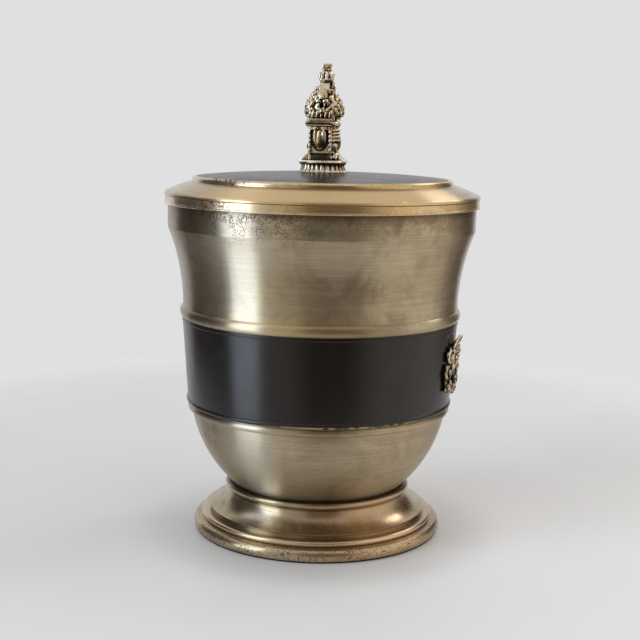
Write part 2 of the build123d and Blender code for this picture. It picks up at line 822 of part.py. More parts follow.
# Lacquered dome with a turned-down edge and a flat seat for the knob
with BuildPart() as lid_dome:
    with BuildSketch(Plane.XZ):
        make_face(dome_curve(0))
    revolve(axis=Axis.Z)
    with BuildSketch(Plane.XZ):
        make_face(dome_curve(dome_wall))
    revolve(axis=Axis.Z, mode=Mode.SUBTRACT)
    with BuildSketch(Plane.XY.offset(dome_top)):
        Circle(stud_radius + bolt_clearance)
    extrude(amount=-dome_wall * 2, mode=Mode.SUBTRACT)
lid_dome.part.label = "lid_dome"
export_step(lid_dome.part, "parts/lid_dome.step")

# Pan that closes the lid from below and drops into the liner's mouth
with BuildPart() as lid_pan:
    with BuildSketch(Plane.XY.offset(pan_floor)):
        Circle(pan_radius)
    extrude(amount=lid_bottom - pan_floor)
    fillet(lid_pan.faces().sort_by(Axis.Z)[0].edges(), pan_corner)
    with BuildSketch(Plane.XY.offset(lid_bottom)):
        Circle(rim_radius - lid_wall - snug)
    extrude(amount=pan_brim)
    with BuildSketch(Plane.XZ):
        with Locations((0, pan_floor_top)):
            Rectangle(pan_radius - liner_wall, lid_ledge - pan_floor_top, align=Align.MIN)
        lower_corner = vertices().group_by(Axis.Y)[0].sort_by(Axis.X)[-1]
        fillet(lower_corner, pan_corner - liner_wall)
    revolve(axis=Axis.Z, mode=Mode.SUBTRACT)
    with BuildSketch(Plane.XY.offset(pan_floor_top)):
        Circle(stud_radius + bolt_clearance)
    extrude(amount=-liner_wall, mode=Mode.SUBTRACT)
lid_pan.part.label = "lid_pan"
export_step(lid_pan.part, "parts/lid_pan.step")

# Foam disc inside the lid
with BuildPart() as lid_insulation:
    with BuildSketch(Plane.XY.offset(pan_floor_top + foam_clearance)):
        Circle(pan_radius - liner_wall - foam_clearance)
        Circle(stud_radius + bolt_clearance, mode=Mode.SUBTRACT)
    extrude(amount=lid_ledge - lid_wall - foam_clearance * 2 - pan_floor_top)
    fillet(lid_insulation.faces().sort_by(Axis.Z)[0].edges().sort_by(SortBy.LENGTH)[-1], pan_corner)
lid_insulation.part.label = "lid_insulation"
export_step(lid_insulation.part, "parts/lid_insulation.step")

# ---- Knob ------------------------------------------------------------------------------------------------


def limb(start, end, start_radius, end_radius):
    """A round limb between two points, with a ball at each end."""
    axis_line = Vector(*end) - Vector(*start)
    middle = (Vector(*start) + Vector(*end)) / 2
    with BuildPart(mode=Mode.PRIVATE) as bone:
        with Locations(Plane(origin=middle, z_dir=axis_line)):
            if abs(start_radius - end_radius) < 0.01:
                Cylinder(start_radius, axis_line.length)
            else:
                Cone(start_radius, end_radius, axis_line.length)
        with Locations(start):
            Sphere(start_radius)
        with Locations(end):
            Sphere(end_radius)
    return bone.part


def at(joint, side=1, lean=0):
    """A joint of the lion on one side of it, moved toward -Y by lean."""
    return (joint[0], side * joint[1] - lean, lion_seat + joint[2])


flute_lean = atan2(knob_foot_radius - knob_neck_radius, knob_foot_height)
flute_length = knob_foot_height / cos(flute_lean) - 2 * flute_radius * tan(flute_lean)
flute_circle = (knob_foot_radius + knob_neck_radius) / 2 - flute_radius * 0.35
flange_middle = (flange_bottom + flange_top) / 2
lion_seat = plinth_top
mane_middle = lion_seat + mane_height
mane_angle = 360 - 2 * face_half_angle
shield_top_level = lion_seat + shield_height
crown_bottom = lion_seat + brow_height
crown_band_top = crown_bottom + crown_band_height
cross_bottom = lion_seat + cross_top - cross_height
cross_lobe_level = lion_seat + cross_top - cross_lobe_drop
tail_start = Vector(*at(tail_bends[0])) - Vector(*at(tail_root))
pale_face = -shield_front + pale_radius - pale_proud

# One casting: fluted foot, flange and plinth, and a seated lion that faces -X behind its shield
with BuildPart() as finial:
    with BuildSketch(Plane.XZ):
        with BuildLine():
            Line((0, dome_top), (knob_foot_radius, dome_top))
            SagittaArc((knob_foot_radius, dome_top), (knob_neck_radius, flange_bottom), knob_neck_hollow)
            Line((knob_neck_radius, flange_bottom), (knob_flange_radius, flange_middle))
            Line((knob_flange_radius, flange_middle), (plinth_width / 2, flange_top))
            Line((plinth_width / 2, flange_top), (0, flange_top))
            Line((0, flange_top), (0, dome_top))
        make_face()
    revolve(axis=Axis.Z)
    with Locations((0, 0, (dome_top + flange_bottom) / 2)):
        with PolarLocations(flute_circle, flute_count):
            Cylinder(flute_radius, flute_length, rotation=(0, -degrees(flute_lean), 0))
    with BuildSketch(Plane.XY.offset(flange_middle)):
        Rectangle(plinth_length, plinth_width)
    extrude(amount=plinth_top - flange_middle)
    with BuildSketch(Plane.XY.offset(plinth_top - plinth_lip_height)):
        Rectangle(plinth_length + 2 * plinth_lip_proud, plinth_width + 2 * plinth_lip_proud)
    extrude(amount=plinth_lip_height)
    with BuildSketch(Plane.YZ.offset(-flare_length / 2)):
        with BuildLine():
            Polyline(
                (-flare_width / 2, flange_middle),
                (flare_width / 2, flange_middle),
                (plinth_width / 2, plinth_top),
                (-plinth_width / 2, plinth_top),
                close=True,
            )
        make_face()
    extrude(amount=flare_length)

    # Body, hind legs and forelegs
    with BuildSketch(Plane(origin=at(rump))):
        Circle(rump_radius)
    with BuildSketch(Plane(origin=at(waist))):
        Circle(lion_waist_radius)
    with BuildSketch(Plane(origin=(0, 0, mane_middle))):
        Circle(chest_radius)
    loft()
    for side in (-1, 1):
        add(limb(at(hip, side), at(knee, side), hip_radius, knee_radius))
        add(limb(at(knee, side), at(ankle, side), knee_radius, ankle_radius))
        add(limb(at(ankle, side), at(toes, side), ankle_radius, toes_radius))
        add(limb(at(shoulder, side), at(forepaw, side), shoulder_radius, forepaw_radius))

    # Shield
    with BuildSketch(Plane.YZ.offset(-shield_front)):
        with BuildLine():
            Line((0, shield_top_level), (shield_width / 2, shield_top_level))
            Line((shield_width / 2, shield_top_level), (shield_width / 2, lion_seat + shield_spring))
            SagittaArc((shield_width / 2, lion_seat + shield_spring), (0, lion_seat), shield_curve)
            mirror(about=Plane.YZ)
        make_face()
    extrude(amount=shield_thickness)
    with BuildSketch(Plane.YZ.offset(-shield_front - moulding_proud)):
        with Locations((0, shield_top_level + moulding_height / 2)):
            RectangleRounded(moulding_width, moulding_height, moulding_round)
    extrude(amount=shield_thickness + chest_radius)
    for pale in range(pale_count):
        shift = (pale - (pale_count - 1) / 2) * pale_pitch
        low = (pale_face, shift, lion_seat + pale_foot + abs(shift) * pale_slope)
        high = (pale_face, shift, shield_top_level - pale_top_margin)
        add(limb(low, high, pale_radius, pale_radius))

    # Mane, face and brow
    with Locations((0, 0, mane_middle)):
        Sphere(mane_radius)
    for rise, ring_radius, curl_radius, curls in mane_rings:
        with Locations((0, 0, mane_middle + rise)):
            with PolarLocations(ring_radius, curls, 180 + face_half_angle, mane_angle, endpoint=True):
                Sphere(curl_radius)
    with BuildSketch(Plane(origin=(0, -head_lean, mane_middle + brow_rise))):
        Circle(brow_radius)
    with BuildSketch(Plane(origin=(0, -head_lean, crown_bottom))):
        Circle(crown_foot_radius)
    loft()
    add(limb(at(cheek, lean=head_lean), at(muzzle, lean=head_lean), cheek_radius, muzzle_radius))
    add(limb(at(jaw_hinge, lean=head_lean), at(jaw_tip, lean=head_lean), jaw_hinge_radius, jaw_tip_radius))
    for side in (-1, 1):
        add(limb(at(forehead, side, head_lean), at(nostril, side, head_lean), bridge_radius, bridge_radius))

    # Crown and cross
    with Locations((0, -head_lean, crown_bottom + crown_band_height / 2)):
        Cone(crown_foot_radius, crown_radius, crown_band_height)
    with Locations((0, -head_lean, crown_band_top)):
        Torus(crown_radius, crown_bead_radius)
    with Locations((0, -head_lean, crown_band_top + crown_lobe_rise)):
        Sphere(crown_radius - crown_bead_radius)
        with PolarLocations(crown_radius - crown_lobe_inset, crown_lobe_count):
            Sphere(crown_lobe_radius)
    post_foot = (0, -head_lean, crown_band_top)
    add(limb(post_foot, (0, -head_lean, cross_bottom), cross_post_radius, cross_post_radius))
    with BuildSketch(Plane(origin=(0, -head_lean, cross_bottom))):
        Rectangle(cross_depth, cross_width)
    extrude(amount=cross_height)
    with Locations((0, -head_lean, cross_lobe_level)):
        with GridLocations(0, cross_lobe_radius * 2, 1, 2):
            Sphere(cross_lobe_radius)

    # Tail
    with BuildLine():
        Spline(at(tail_root), *(at(bend) for bend in tail_bends), at(tail_tip))
    with BuildSketch(Plane(origin=at(tail_root), z_dir=tail_start)):
        Circle(tail_radius)
    sweep()
    with Locations(at(tail_tip)):
        Sphere(tail_tip_radius)

    # Blind hole for the stud
    with BuildSketch(Plane.XY.offset(dome_top)):
        Circle(stud_radius + snug)
    extrude(amount=stud_depth_in_knob + snug, mode=Mode.SUBTRACT)
finial.part.label = "finial"
export_step(finial.part, "parts/finial.step")

# Stud that draws the knob, dome and pan together, with its washer and cap nut under the pan
with BuildPart() as finial_stud:
    with BuildSketch(Plane.XY.offset(stud_bottom)):
        Circle(stud_radius)
    extrude(amount=dome_top + stud_depth_in_knob - stud_bottom)
    chamfer(finial_stud.edges().filter_by(GeomType.CIRCLE), stud_chamfer)
finial_stud.part.label = "finial_stud"
export_step(finial_stud.part, "parts/finial_stud.step")

with BuildPart() as finial_washer:
    with BuildSketch(Plane.XY.offset(stud_washer_top - washer_thickness)):
        Circle(stud_washer_radius)
        Circle(stud_radius + snug, mode=Mode.SUBTRACT)
    extrude(amount=washer_thickness)
finial_washer.part.label = "finial_washer"
export_step(finial_washer.part, "parts/finial_washer.step")

with BuildPart() as finial_nut:
    with BuildSketch(Plane.XY.offset(stud_washer_top - washer_thickness - knob_nut_height)):
        RegularPolygon(knob_nut_radius, 6)
    extrude(amount=knob_nut_height)
    with Locations((0, 0, stud_washer_top - washer_thickness - knob_nut_height)):
        Sphere(cap_nut_dome)
    with BuildSketch(Plane.XY.offset(stud_bottom - snug)):
        Circle(stud_radius + snug)
    extrude(amount=knob_nut_height + 3 * snug, mode=Mode.SUBTRACT)
finial_nut.part.label = "finial_nut"
export_step(finial_nut.part, "parts/finial_nut.step")
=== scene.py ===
import itertools
import math

import bpy
import numpy as np
from mathutils import Matrix, Vector


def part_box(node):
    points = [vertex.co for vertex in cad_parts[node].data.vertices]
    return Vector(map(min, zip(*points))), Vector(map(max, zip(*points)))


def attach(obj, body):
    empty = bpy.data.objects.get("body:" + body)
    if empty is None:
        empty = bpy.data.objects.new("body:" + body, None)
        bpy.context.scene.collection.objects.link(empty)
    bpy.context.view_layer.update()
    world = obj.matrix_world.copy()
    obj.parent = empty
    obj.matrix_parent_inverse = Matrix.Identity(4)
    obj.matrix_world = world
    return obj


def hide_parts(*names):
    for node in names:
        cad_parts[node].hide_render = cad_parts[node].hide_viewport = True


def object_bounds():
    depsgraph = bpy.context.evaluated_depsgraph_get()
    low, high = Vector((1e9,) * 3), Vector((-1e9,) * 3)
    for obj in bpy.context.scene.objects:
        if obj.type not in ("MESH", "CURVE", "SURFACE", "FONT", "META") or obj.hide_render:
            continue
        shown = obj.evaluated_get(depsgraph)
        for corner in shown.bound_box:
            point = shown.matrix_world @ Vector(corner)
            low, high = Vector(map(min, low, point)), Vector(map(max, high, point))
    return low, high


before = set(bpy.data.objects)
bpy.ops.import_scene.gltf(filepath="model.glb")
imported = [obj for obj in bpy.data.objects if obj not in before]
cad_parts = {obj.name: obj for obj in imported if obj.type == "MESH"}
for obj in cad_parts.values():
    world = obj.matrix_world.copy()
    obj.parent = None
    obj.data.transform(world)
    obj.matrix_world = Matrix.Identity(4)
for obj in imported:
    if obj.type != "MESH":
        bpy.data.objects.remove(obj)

# Looks for the lidded brass ice bucket. Metres, in the CAD frame: +Z up, the crest faces -Y and the lion
# on the lid faces -X. Sculpted pieces are worked out in millimetres and turned into metres at the end.
# Azimuths are in degrees round +Z, 0 at -Y; FRONT is the side that the photograph shows.

CAD_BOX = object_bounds()
MM = 0.001


def mm(value):
    return value / MM


def levels(node):
    """Lowest and highest z of a CAD node, in millimetres."""
    low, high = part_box(node)
    return mm(low.z), mm(high.z)


# ---- Sculpting on a grid ----

FAR = 9.0
JOINED = 0.05
TINY = 1e-6


def surface_net(field, corner, step):
    """Vertices and quads on the zero level of a sampled distance field, negative inside."""
    inside = field < 0
    shape = tuple(n - 1 for n in field.shape)
    offsets = list(itertools.product((0, 1), repeat=3))

    def shifted(array, offset):
        i, j, k = offset
        return array[i : i + shape[0], j : j + shape[1], k : k + shape[2]]

    filled = sum(shifted(inside, o).astype(np.int8) for o in offsets)
    active = (filled > 0) & (filled < 8)
    cells = np.argwhere(active)
    number = np.full(shape, -1, np.int64)
    number[active] = np.arange(len(cells))
    total = np.zeros((len(cells), 3))
    crossings = np.zeros(len(cells))
    values = {o: field[tuple((cells + o).T)] for o in offsets}
    for start in offsets:
        for axis in range(3):
            if start[axis]:
                continue
            end = tuple(1 if n == axis else start[n] for n in range(3))
            a, b = values[start], values[end]
            cut = (a < 0) != (b < 0)
            share = np.where(cut, a / np.where(cut, a - b, 1), 0)
            point = np.tile(np.array(start, float), (len(cells), 1))
            point[:, axis] += share
            total[cut] += point[cut]
            crossings[cut] += 1
    vertices = corner + step * (cells + total / crossings[:, None])

    quads = []
    for axis in range(3):
        u, v = [n for n in range(3) if n != axis]
        edge_shape = list(field.shape)
        edge_shape[axis] -= 1
        low = inside[tuple(slice(0, edge_shape[n]) for n in range(3))]
        high = inside[tuple(slice(1, None) if n == axis else slice(0, edge_shape[n]) for n in range(3))]
        for flips, found in ((False, low & ~high), (True, high & ~low)):
            edges = np.argwhere(found)
            keep = (edges[:, u] > 0) & (edges[:, v] > 0)
            keep &= (edges[:, u] < shape[u]) & (edges[:, v] < shape[v])
            edges = edges[keep]
            ring = []
            for du, dv in ((-1, -1), (0, -1), (0, 0), (-1, 0)):
                cell = edges.copy()
                cell[:, u] += du
                cell[:, v] += dv
                ring.append(number[tuple(cell.T)])
            turn = flips != (axis == 1)
            quads.append(np.stack(ring[::-1] if turn else ring, 1))
    return vertices, np.concatenate(quads)


class Sculpt:
    """A solid built up from soft-edged balls, bars and blocks, in millimetres.

    blend is how far a form melts into what is there, and carve cuts the form away.
    """

    def __init__(self, low, high, step):
        self.low = np.array(low, float)
        self.step = step
        count = np.ceil((np.array(high) - self.low) / step).astype(int) + 1
        self.field = np.full(count, FAR, np.float32)
        self.axes = [self.low[n] + step * np.arange(count[n]) for n in range(3)]

    def _apply(self, low, high, distance, blend, carve):
        """Add a form, or cut it away, inside the part of the grid that its box can reach."""
        margin = blend + 3 * self.step
        window = []
        for n in range(3):
            first = np.searchsorted(self.axes[n], low[n] - margin)
            last = np.searchsorted(self.axes[n], high[n] + margin)
            if first >= last:
                return
            window.append(slice(first, last))
        grid = np.meshgrid(*(self.axes[n][window[n]] for n in range(3)), indexing="ij", sparse=True)
        new = distance(*grid)
        old = self.field[tuple(window)]
        if carve:
            mix = np.maximum(blend - np.abs(old + new), 0) / max(blend, TINY)
            self.field[tuple(window)] = np.maximum(old, -new) + mix * mix * blend / 4
        else:
            mix = np.maximum(blend - np.abs(old - new), 0) / max(blend, TINY)
            self.field[tuple(window)] = np.minimum(old, new) - mix * mix * blend / 4

    def ball(self, middle, radii, blend=0.1, carve=False):
        """An ellipsoid, or a round ball where radii is one number."""
        radii = np.array(radii if hasattr(radii, "__len__") else (radii,) * 3, float)

        def distance(x, y, z):
            local = x - middle[0], y - middle[1], z - middle[2]
            near = np.sqrt(sum((local[n] / radii[n]) ** 2 for n in range(3)))
            slope = np.sqrt(sum((local[n] / radii[n] ** 2) ** 2 for n in range(3))) + TINY
            return near * (near - 1) / slope

        reach = radii.max()
        self._apply(np.array(middle) - reach, np.array(middle) + reach, distance, blend, carve)

    def bar(self, start, end, start_radius, end_radius=None, blend=0.1, carve=False):
        """A round bar between two points, tapering from one radius to the other."""
        end_radius = start_radius if end_radius is None else end_radius
        a, b = np.array(start, float), np.array(end, float)
        run = b - a
        length = max(run @ run, 1e-9)

        def distance(x, y, z):
            px, py, pz = x - a[0], y - a[1], z - a[2]
            share = np.clip((px * run[0] + py * run[1] + pz * run[2]) / length, 0, 1)
            aside = (px - share * run[0], py - share * run[1], pz - share * run[2])
            gap = np.sqrt(sum(a**2 for a in aside))
            return gap - start_radius - share * (end_radius - start_radius)

        thick = max(start_radius, end_radius)
        self._apply(np.minimum(a, b) - thick, np.maximum(a, b) + thick, distance, blend, carve)

    def block(self, middle, half, edge=0.3, blend=0.3, turn=None):
        """A block with rounded edges; half holds its half sizes and turn is a rotation matrix."""
        turn = np.eye(3) if turn is None else np.array(turn)
        inner = np.array(half, float) - edge

        def distance(x, y, z):
            px, py, pz = x - middle[0], y - middle[1], z - middle[2]
            local = [turn[0][n] * px + turn[1][n] * py + turn[2][n] * pz for n in range(3)]
            out = [np.abs(local[n]) - inner[n] for n in range(3)]
            outside = np.sqrt(sum(np.maximum(o, 0) ** 2 for o in out))
            within = np.minimum(np.maximum(np.maximum(out[0], out[1]), out[2]), 0)
            return outside + within - edge

        reach = np.array(half) if np.allclose(turn, np.eye(3)) else np.linalg.norm(half)
        self._apply(np.array(middle) - reach, np.array(middle) + reach, distance, blend, False)

    def turned(self, profile, low, high, reach, middle=(0.0, 0.0), blend=0.3):
        """A turned form about an upright axis; profile(z, angle) gives its radius."""

        def distance(x, y, z):
            px, py = x - middle[0], y - middle[1]
            side = np.sqrt(px * px + py * py) - profile(z, np.arctan2(py, px))
            return np.maximum(side, np.maximum(z - high, low - z))

        start = (middle[0] - reach, middle[1] - reach, low)
        self._apply(start, (middle[0] + reach, middle[1] + reach, high), distance, blend, False)

    def path(self, points, radii, blend=0.3, steps=5, carve=False):
        """A smooth tapering bar through the points, with a radius at each."""
        points = [np.array(p, float) for p in points]
        ends = [2 * points[0] - points[1]] + points + [2 * points[-1] - points[-2]]
        line, widths = [], []
        for n in range(len(points) - 1):
            before, start, end, after = ends[n : n + 4]
            slope = end - before
            bow = 2 * before - 5 * start + 4 * end - after
            twist = 3 * start - before - 3 * end + after
            for s in range(steps):
                t = s / steps
                line.append(0.5 * (2 * start + slope * t + bow * t * t + twist * t**3))
                widths.append(radii[n] + (radii[n + 1] - radii[n]) * t)
        line.append(points[-1])
        widths.append(radii[-1])
        for n in range(len(line) - 1):
            self.bar(line[n], line[n + 1], widths[n], widths[n + 1], blend if n == 0 else JOINED, carve)

    def hollows(self, points, reach):
        """How deeply each point lies in a recess: about 0.5 on the flat, more in a hollow."""
        share = (self.field < 0).astype(np.float32)
        for axis in (0, 1, 2, 0, 1, 2):
            ends = [(reach, reach) if n == axis else (0, 0) for n in range(3)]
            total = np.cumsum(np.pad(share, ends, mode="edge"), axis=axis, dtype=np.float64)
            upper = np.take(total, range(2 * reach, total.shape[axis]), axis=axis)
            lower = np.take(total, range(0, total.shape[axis] - 2 * reach), axis=axis)
            share = ((upper - lower) / (2 * reach)).astype(np.float32)
        place = np.round((points - self.low) / self.step).astype(int)
        return share[tuple(place.T)]

    def mesh(self, name, recess, bend=None):
        """A smooth Blender object in metres, with its recesses stored; bend moves the points into place."""
        for axis in range(3):
            ends = [slice(None)] * 3
            ends[axis] = [0, -1]
            self.field[tuple(ends)] = np.maximum(self.field[tuple(ends)], self.step)
        points, quads = surface_net(self.field, self.low, self.step)
        depth = self.hollows(points, max(int(recess / self.step), 1))
        if bend:
            points = bend(points)
        piece = make_object(name, (points * MM).tolist(), quads.tolist())
        cavity = piece.data.attributes.new("cavity", "FLOAT", "POINT")
        cavity.data.foreach_set("value", depth.astype(np.float32))
        return piece


def make_object(name, points, faces):
    data = bpy.data.meshes.new(name)
    data.from_pydata(points, [], faces)
    data.shade_smooth()
    data.update()
    piece = bpy.data.objects.new(name, data)
    bpy.context.scene.collection.objects.link(piece)
    return piece


# ---- Node materials ----

FRONT = -74.0
BODY_RADIUS = 70.0


class Nodes:
    """A node tree being built. Methods return the socket they make, and take sockets or plain values."""

    def __init__(self, tree):
        self.tree = tree

    def add(self, kind, inputs=None, **settings):
        node = self.tree.nodes.new(kind)
        for key, value in settings.items():
            setattr(node, key, value)
        for key, value in (inputs or {}).items():
            self.plug(value, node.inputs[key])
        return node

    def plug(self, value, socket):
        if isinstance(value, bpy.types.NodeSocket):
            self.tree.links.new(value, socket)
        else:
            socket.default_value = value

    def math(self, operation, *values):
        return self.add("ShaderNodeMath", dict(enumerate(values)), operation=operation).outputs[0]

    def vector(self, operation, *values, scale=None):
        node = self.add("ShaderNodeVectorMath", dict(enumerate(values)), operation=operation)
        if scale is not None:
            self.plug(scale, node.inputs["Scale"])
        return node.outputs["Value" if operation in ("LENGTH", "DOT_PRODUCT") else "Vector"]

    def combine(self, x, y, z):
        return self.add("ShaderNodeCombineXYZ", {"X": x, "Y": y, "Z": z}).outputs[0]

    def spread(self, value, low, high, to_low=0.0, to_high=1.0):
        """Map a value from low..high to another range, smoothly and clamped."""
        span = {"Value": value, "From Min": low, "From Max": high, "To Min": to_low, "To Max": to_high}
        return self.add("ShaderNodeMapRange", span, interpolation_type="SMOOTHSTEP").outputs["Result"]

    def near(self, value, middle, reach):
        """1 at the middle, falling smoothly to 0 at reach on each side."""
        gap = self.math("ABSOLUTE", self.math("SUBTRACT", value, middle))
        return self.spread(gap, 0.0, reach, 1.0, 0.0)

    def mix(self, share, first, second):
        """The first colour where share is 0 and the second where it is 1."""
        node = self.add("ShaderNodeMix", data_type="RGBA", clamp_factor=True)
        colours = [s for s in node.inputs if s.type == "RGBA"]
        self.plug(share, node.inputs["Factor"])
        for value, socket in zip((first, second), colours):
            if not isinstance(value, bpy.types.NodeSocket):
                value = (*value, 1.0)
            self.plug(value, socket)
        return next(s for s in node.outputs if s.type == "RGBA")

    def all_of(self, *masks):
        """The product of masks: shows only where every one does, as strongly as the numbers among them."""
        product = masks[0]
        for mask in masks[1:]:
            product = self.math("MULTIPLY", product, mask)
        return product

    def any_of(self, *masks):
        """The largest of masks."""
        largest = masks[0]
        for mask in masks[1:]:
            largest = self.math("MAXIMUM", largest, mask)
        return largest

    def seen(self):
        """1 for a ray from the camera, also once metal has mirrored it or glass has let it through."""
        rays = self.add("ShaderNodeLightPath").outputs
        return self.any_of(rays["Is Camera Ray"], rays["Is Glossy Ray"], rays["Is Transmission Ray"])


class Look(Nodes):
    """A material for one piece, with its object coordinates in millimetres."""

    def __init__(self, name, metallic=0.0):
        self.material = bpy.data.materials.new(name)
        self.material.use_nodes = True
        super().__init__(self.material.node_tree)
        self.shader = self.tree.nodes["Principled BSDF"]
        self.shader.inputs["Metallic"].default_value = metallic
        place = self.add("ShaderNodeTexCoord").outputs["Object"]
        self.place = self.vector("SCALE", place, scale=1 / MM)
        parts = self.add("ShaderNodeSeparateXYZ", {"Vector": self.place}).outputs
        self.z = parts["Z"]
        flat = self.combine(parts["X"], parts["Y"], 0.0)
        self.radius = self.vector("LENGTH", flat)
        self.outward = self.vector("NORMALIZE", flat)

    def level(self, height, reach):
        """1 at a height, falling to 0 at reach above and below it."""
        return self.near(self.z, height, reach)

    def facing(self, turn, reach):
        """1 on the side turn degrees to the right of the front, falling to 0 at reach degrees from there."""
        angle = math.radians(FRONT + turn)
        toward = self.vector("DOT_PRODUCT", self.outward, (math.sin(angle), -math.cos(angle), 0.0))
        return self.spread(toward, math.cos(math.radians(reach)), 1.0)

    def noise(self, size, detail=3.0, rough=0.55, warp=0.0, place=None, seed=0.0):
        """Noise with features about size millimetres across, around 0.5; seed gives another pattern."""
        place = place or self.place
        if seed:
            place = self.vector("ADD", place, (seed * 31.7, seed * 17.3, seed * 57.1))
        inputs = {"Vector": place, "Scale": 1 / size, "Detail": detail, "Roughness": rough}
        return self.add("ShaderNodeTexNoise", {**inputs, "Distortion": warp}).outputs["Fac"]

    def spots(self, size, fill, seed=0.0):
        """Round spots scattered size millimetres apart; fill is their radius as a share of that."""
        place = self.vector("ADD", self.place, (seed * 13.1, seed * 5.9, seed * 71.3))
        cells = self.add("ShaderNodeTexVoronoi", {"Vector": place, "Scale": 1 / size})
        return self.spread(cells.outputs["Distance"], fill * 0.55, fill, 1.0, 0.0)

    def lines(self, along, across, seed=0.0):
        """Fine broken lines that run round the object, along mm long and across mm apart."""
        lap = self.vector("SCALE", self.outward, scale=BODY_RADIUS / along)
        height = self.math("DIVIDE", self.math("ADD", self.z, self.radius), across)
        parts = self.add("ShaderNodeSeparateXYZ", {"Vector": lap}).outputs
        place = self.combine(parts["X"], parts["Y"], self.math("ADD", height, seed * 91.0))
        return self.noise(1.0, 4.0, 0.6, place=place)

    def bump(self, height, depth, after=None):
        """Bump from a height around 0.5, depth in millimetres."""
        inputs = {"Height": height, "Distance": depth * MM, "Strength": 1.0}
        if after:
            inputs["Normal"] = after
        return self.add("ShaderNodeBump", inputs).outputs["Normal"]

    def finish(self, colour, roughness, normal=None, metallic=None):
        if not isinstance(colour, bpy.types.NodeSocket):
            colour = (*colour, 1.0)
        self.plug(colour, self.shader.inputs["Base Color"])
        self.plug(roughness, self.shader.inputs["Roughness"])
        if normal:
            self.plug(normal, self.shader.inputs["Normal"])
        if metallic is not None:
            self.plug(metallic, self.shader.inputs["Metallic"])
        return self.material

    def brushed(self, amount):
        """Stretch the highlights across the turning marks, which run round the object."""
        self.shader.inputs["Anisotropic"].default_value = amount
        self.shader.inputs["Anisotropic Rotation"].default_value = 0.25
        tangent = self.add("ShaderNodeTangent", direction_type="RADIAL", axis="Z")
        self.plug(tangent.outputs[0], self.shader.inputs["Tangent"])


def dress(node, material):
    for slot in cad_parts[node].material_slots:
        slot.material = material


# ---- Finishes of the turned parts ----

BAND_LOW, BAND_HIGH = levels("band")
RIM_LOW = levels("rim_ring")[0]
FOOT_LOW, FOOT_HIGH = levels("foot")
LEDGE = levels("lid_bezel")[0]
BEZEL_RADIUS = mm(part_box("lid_bezel")[1].x)
DOME_RADIUS = mm(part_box("lid_dome")[1].x)
DOME_TOP = levels("lid_dome")[1]
PANEL_GAP = 0.02

# Linear colours of the brushed brass: its metal, its tints, its tarnish, and its painted shade and highlight
BRASS, WARM_BRASS = (0.50, 0.405, 0.26), (0.585, 0.495, 0.34)
SCORED, BRIGHT = (0.32, 0.25, 0.155), (0.66, 0.58, 0.43)
FLANGE_PALE, FLANGE_GOLD, FLANGE_SHADE = (0.74, 0.69, 0.58), (0.80, 0.56, 0.28), (0.20, 0.125, 0.065)
GOLDEN, STREAK, SILVER_HIGHLIGHT = (0.64, 0.48, 0.24), (0.55, 0.43, 0.15), (0.60, 0.57, 0.50)
PATINA, BELT, SHADE = (0.215, 0.155, 0.095), (0.24, 0.18, 0.11), (0.20, 0.165, 0.12)
STAIN, SINGED, RIM_SHADOW = (0.19, 0.125, 0.07), (0.22, 0.145, 0.08), (0.10, 0.07, 0.045)
RUST, MOTTLE, SPECK = (0.22, 0.09, 0.03), (0.13, 0.09, 0.055), (0.055, 0.04, 0.03)
# Of the golden ring and bezel, and of the foot, with their painted highlights and the foot's painted shade
GOLD, PALE_GOLD, GOLD_SCORED = (0.70, 0.50, 0.24), (0.78, 0.60, 0.34), (0.44, 0.29, 0.13)
GOLD_HIGHLIGHT, RING_RUST = (0.80, 0.76, 0.66), (0.17, 0.075, 0.03)
FOOT_BRASS, FOOT_LIGHT, FOOT_SCORED = (0.46, 0.37, 0.24), (0.56, 0.46, 0.32), (0.30, 0.21, 0.12)
COVE_SHADE_BROWN, COVE_HIGHLIGHT, FOOT_WARM = (0.20, 0.135, 0.075), (0.90, 0.84, 0.70), (0.62, 0.36, 0.17)
BEAD_WORN, CREASE, PITS = (0.86, 0.66, 0.44), (0.05, 0.034, 0.02), (0.12, 0.08, 0.05)
# Of the lacquer and the liner
LACQUER, BROWN_LACQUER, CHIPPED = (0.004, 0.0026, 0.0024), (0.009, 0.0055, 0.005), (0.50, 0.37, 0.18)
BAND_GLOSS, PANEL_GLOSS = 0.21, 0.27
ALUMINIUM, DULL_ALUMINIUM = (0.72, 0.72, 0.70), (0.60, 0.60, 0.59)
# Of the small and hidden parts
STEEL, PLATED, FOAM = (0.55, 0.55, 0.54), (0.66, 0.56, 0.38), (0.80, 0.76, 0.62)
FELT, RUBBER = (0.02, 0.02, 0.021), (0.05, 0.05, 0.05)


def brushed_brass(name):
    """Brushed brass: the look, its broad tone, its colour, its roughness and its normal."""
    look = Look(name, metallic=1.0)
    look.brushed(0.95)
    tone = look.noise(55.0, 4.0, 0.6, warp=0.6)
    lines = look.lines(26.0, 0.35)
    broad_lines = look.lines(60.0, 1.6, seed=3.0)
    colour = look.mix(look.spread(tone, 0.35, 0.68), BRASS, WARM_BRASS)
    colour = look.mix(look.spread(lines, 0.3, 0.75, 0.0, 0.6), colour, SCORED)
    colour = look.mix(look.spread(broad_lines, 0.45, 0.75, 0.0, 0.35), colour, BRIGHT)
    rough = look.spread(lines, 0.25, 0.8, 0.30, 0.38)
    return look, tone, colour, rough, look.bump(lines, 0.012)


def flange_brass():
    """The lid's flange: gold in front, with a brown strip of painted shade along the bezel."""
    look, _, colour, rough, normal = brushed_brass("satin_flange")
    colour = look.mix(0.45, colour, FLANGE_PALE)
    colour = look.mix(look.all_of(look.facing(2.0, 74.0), 0.9), colour, FLANGE_GOLD)
    # painted shade: a brown strip at the foot of the bezel on the front side
    brown = look.all_of(look.near(look.radius, BEZEL_RADIUS + 0.5, 4.5), look.facing(4.0, 80.0), 0.8)
    return look.finish(look.mix(brown, colour, FLANGE_SHADE), rough, normal)


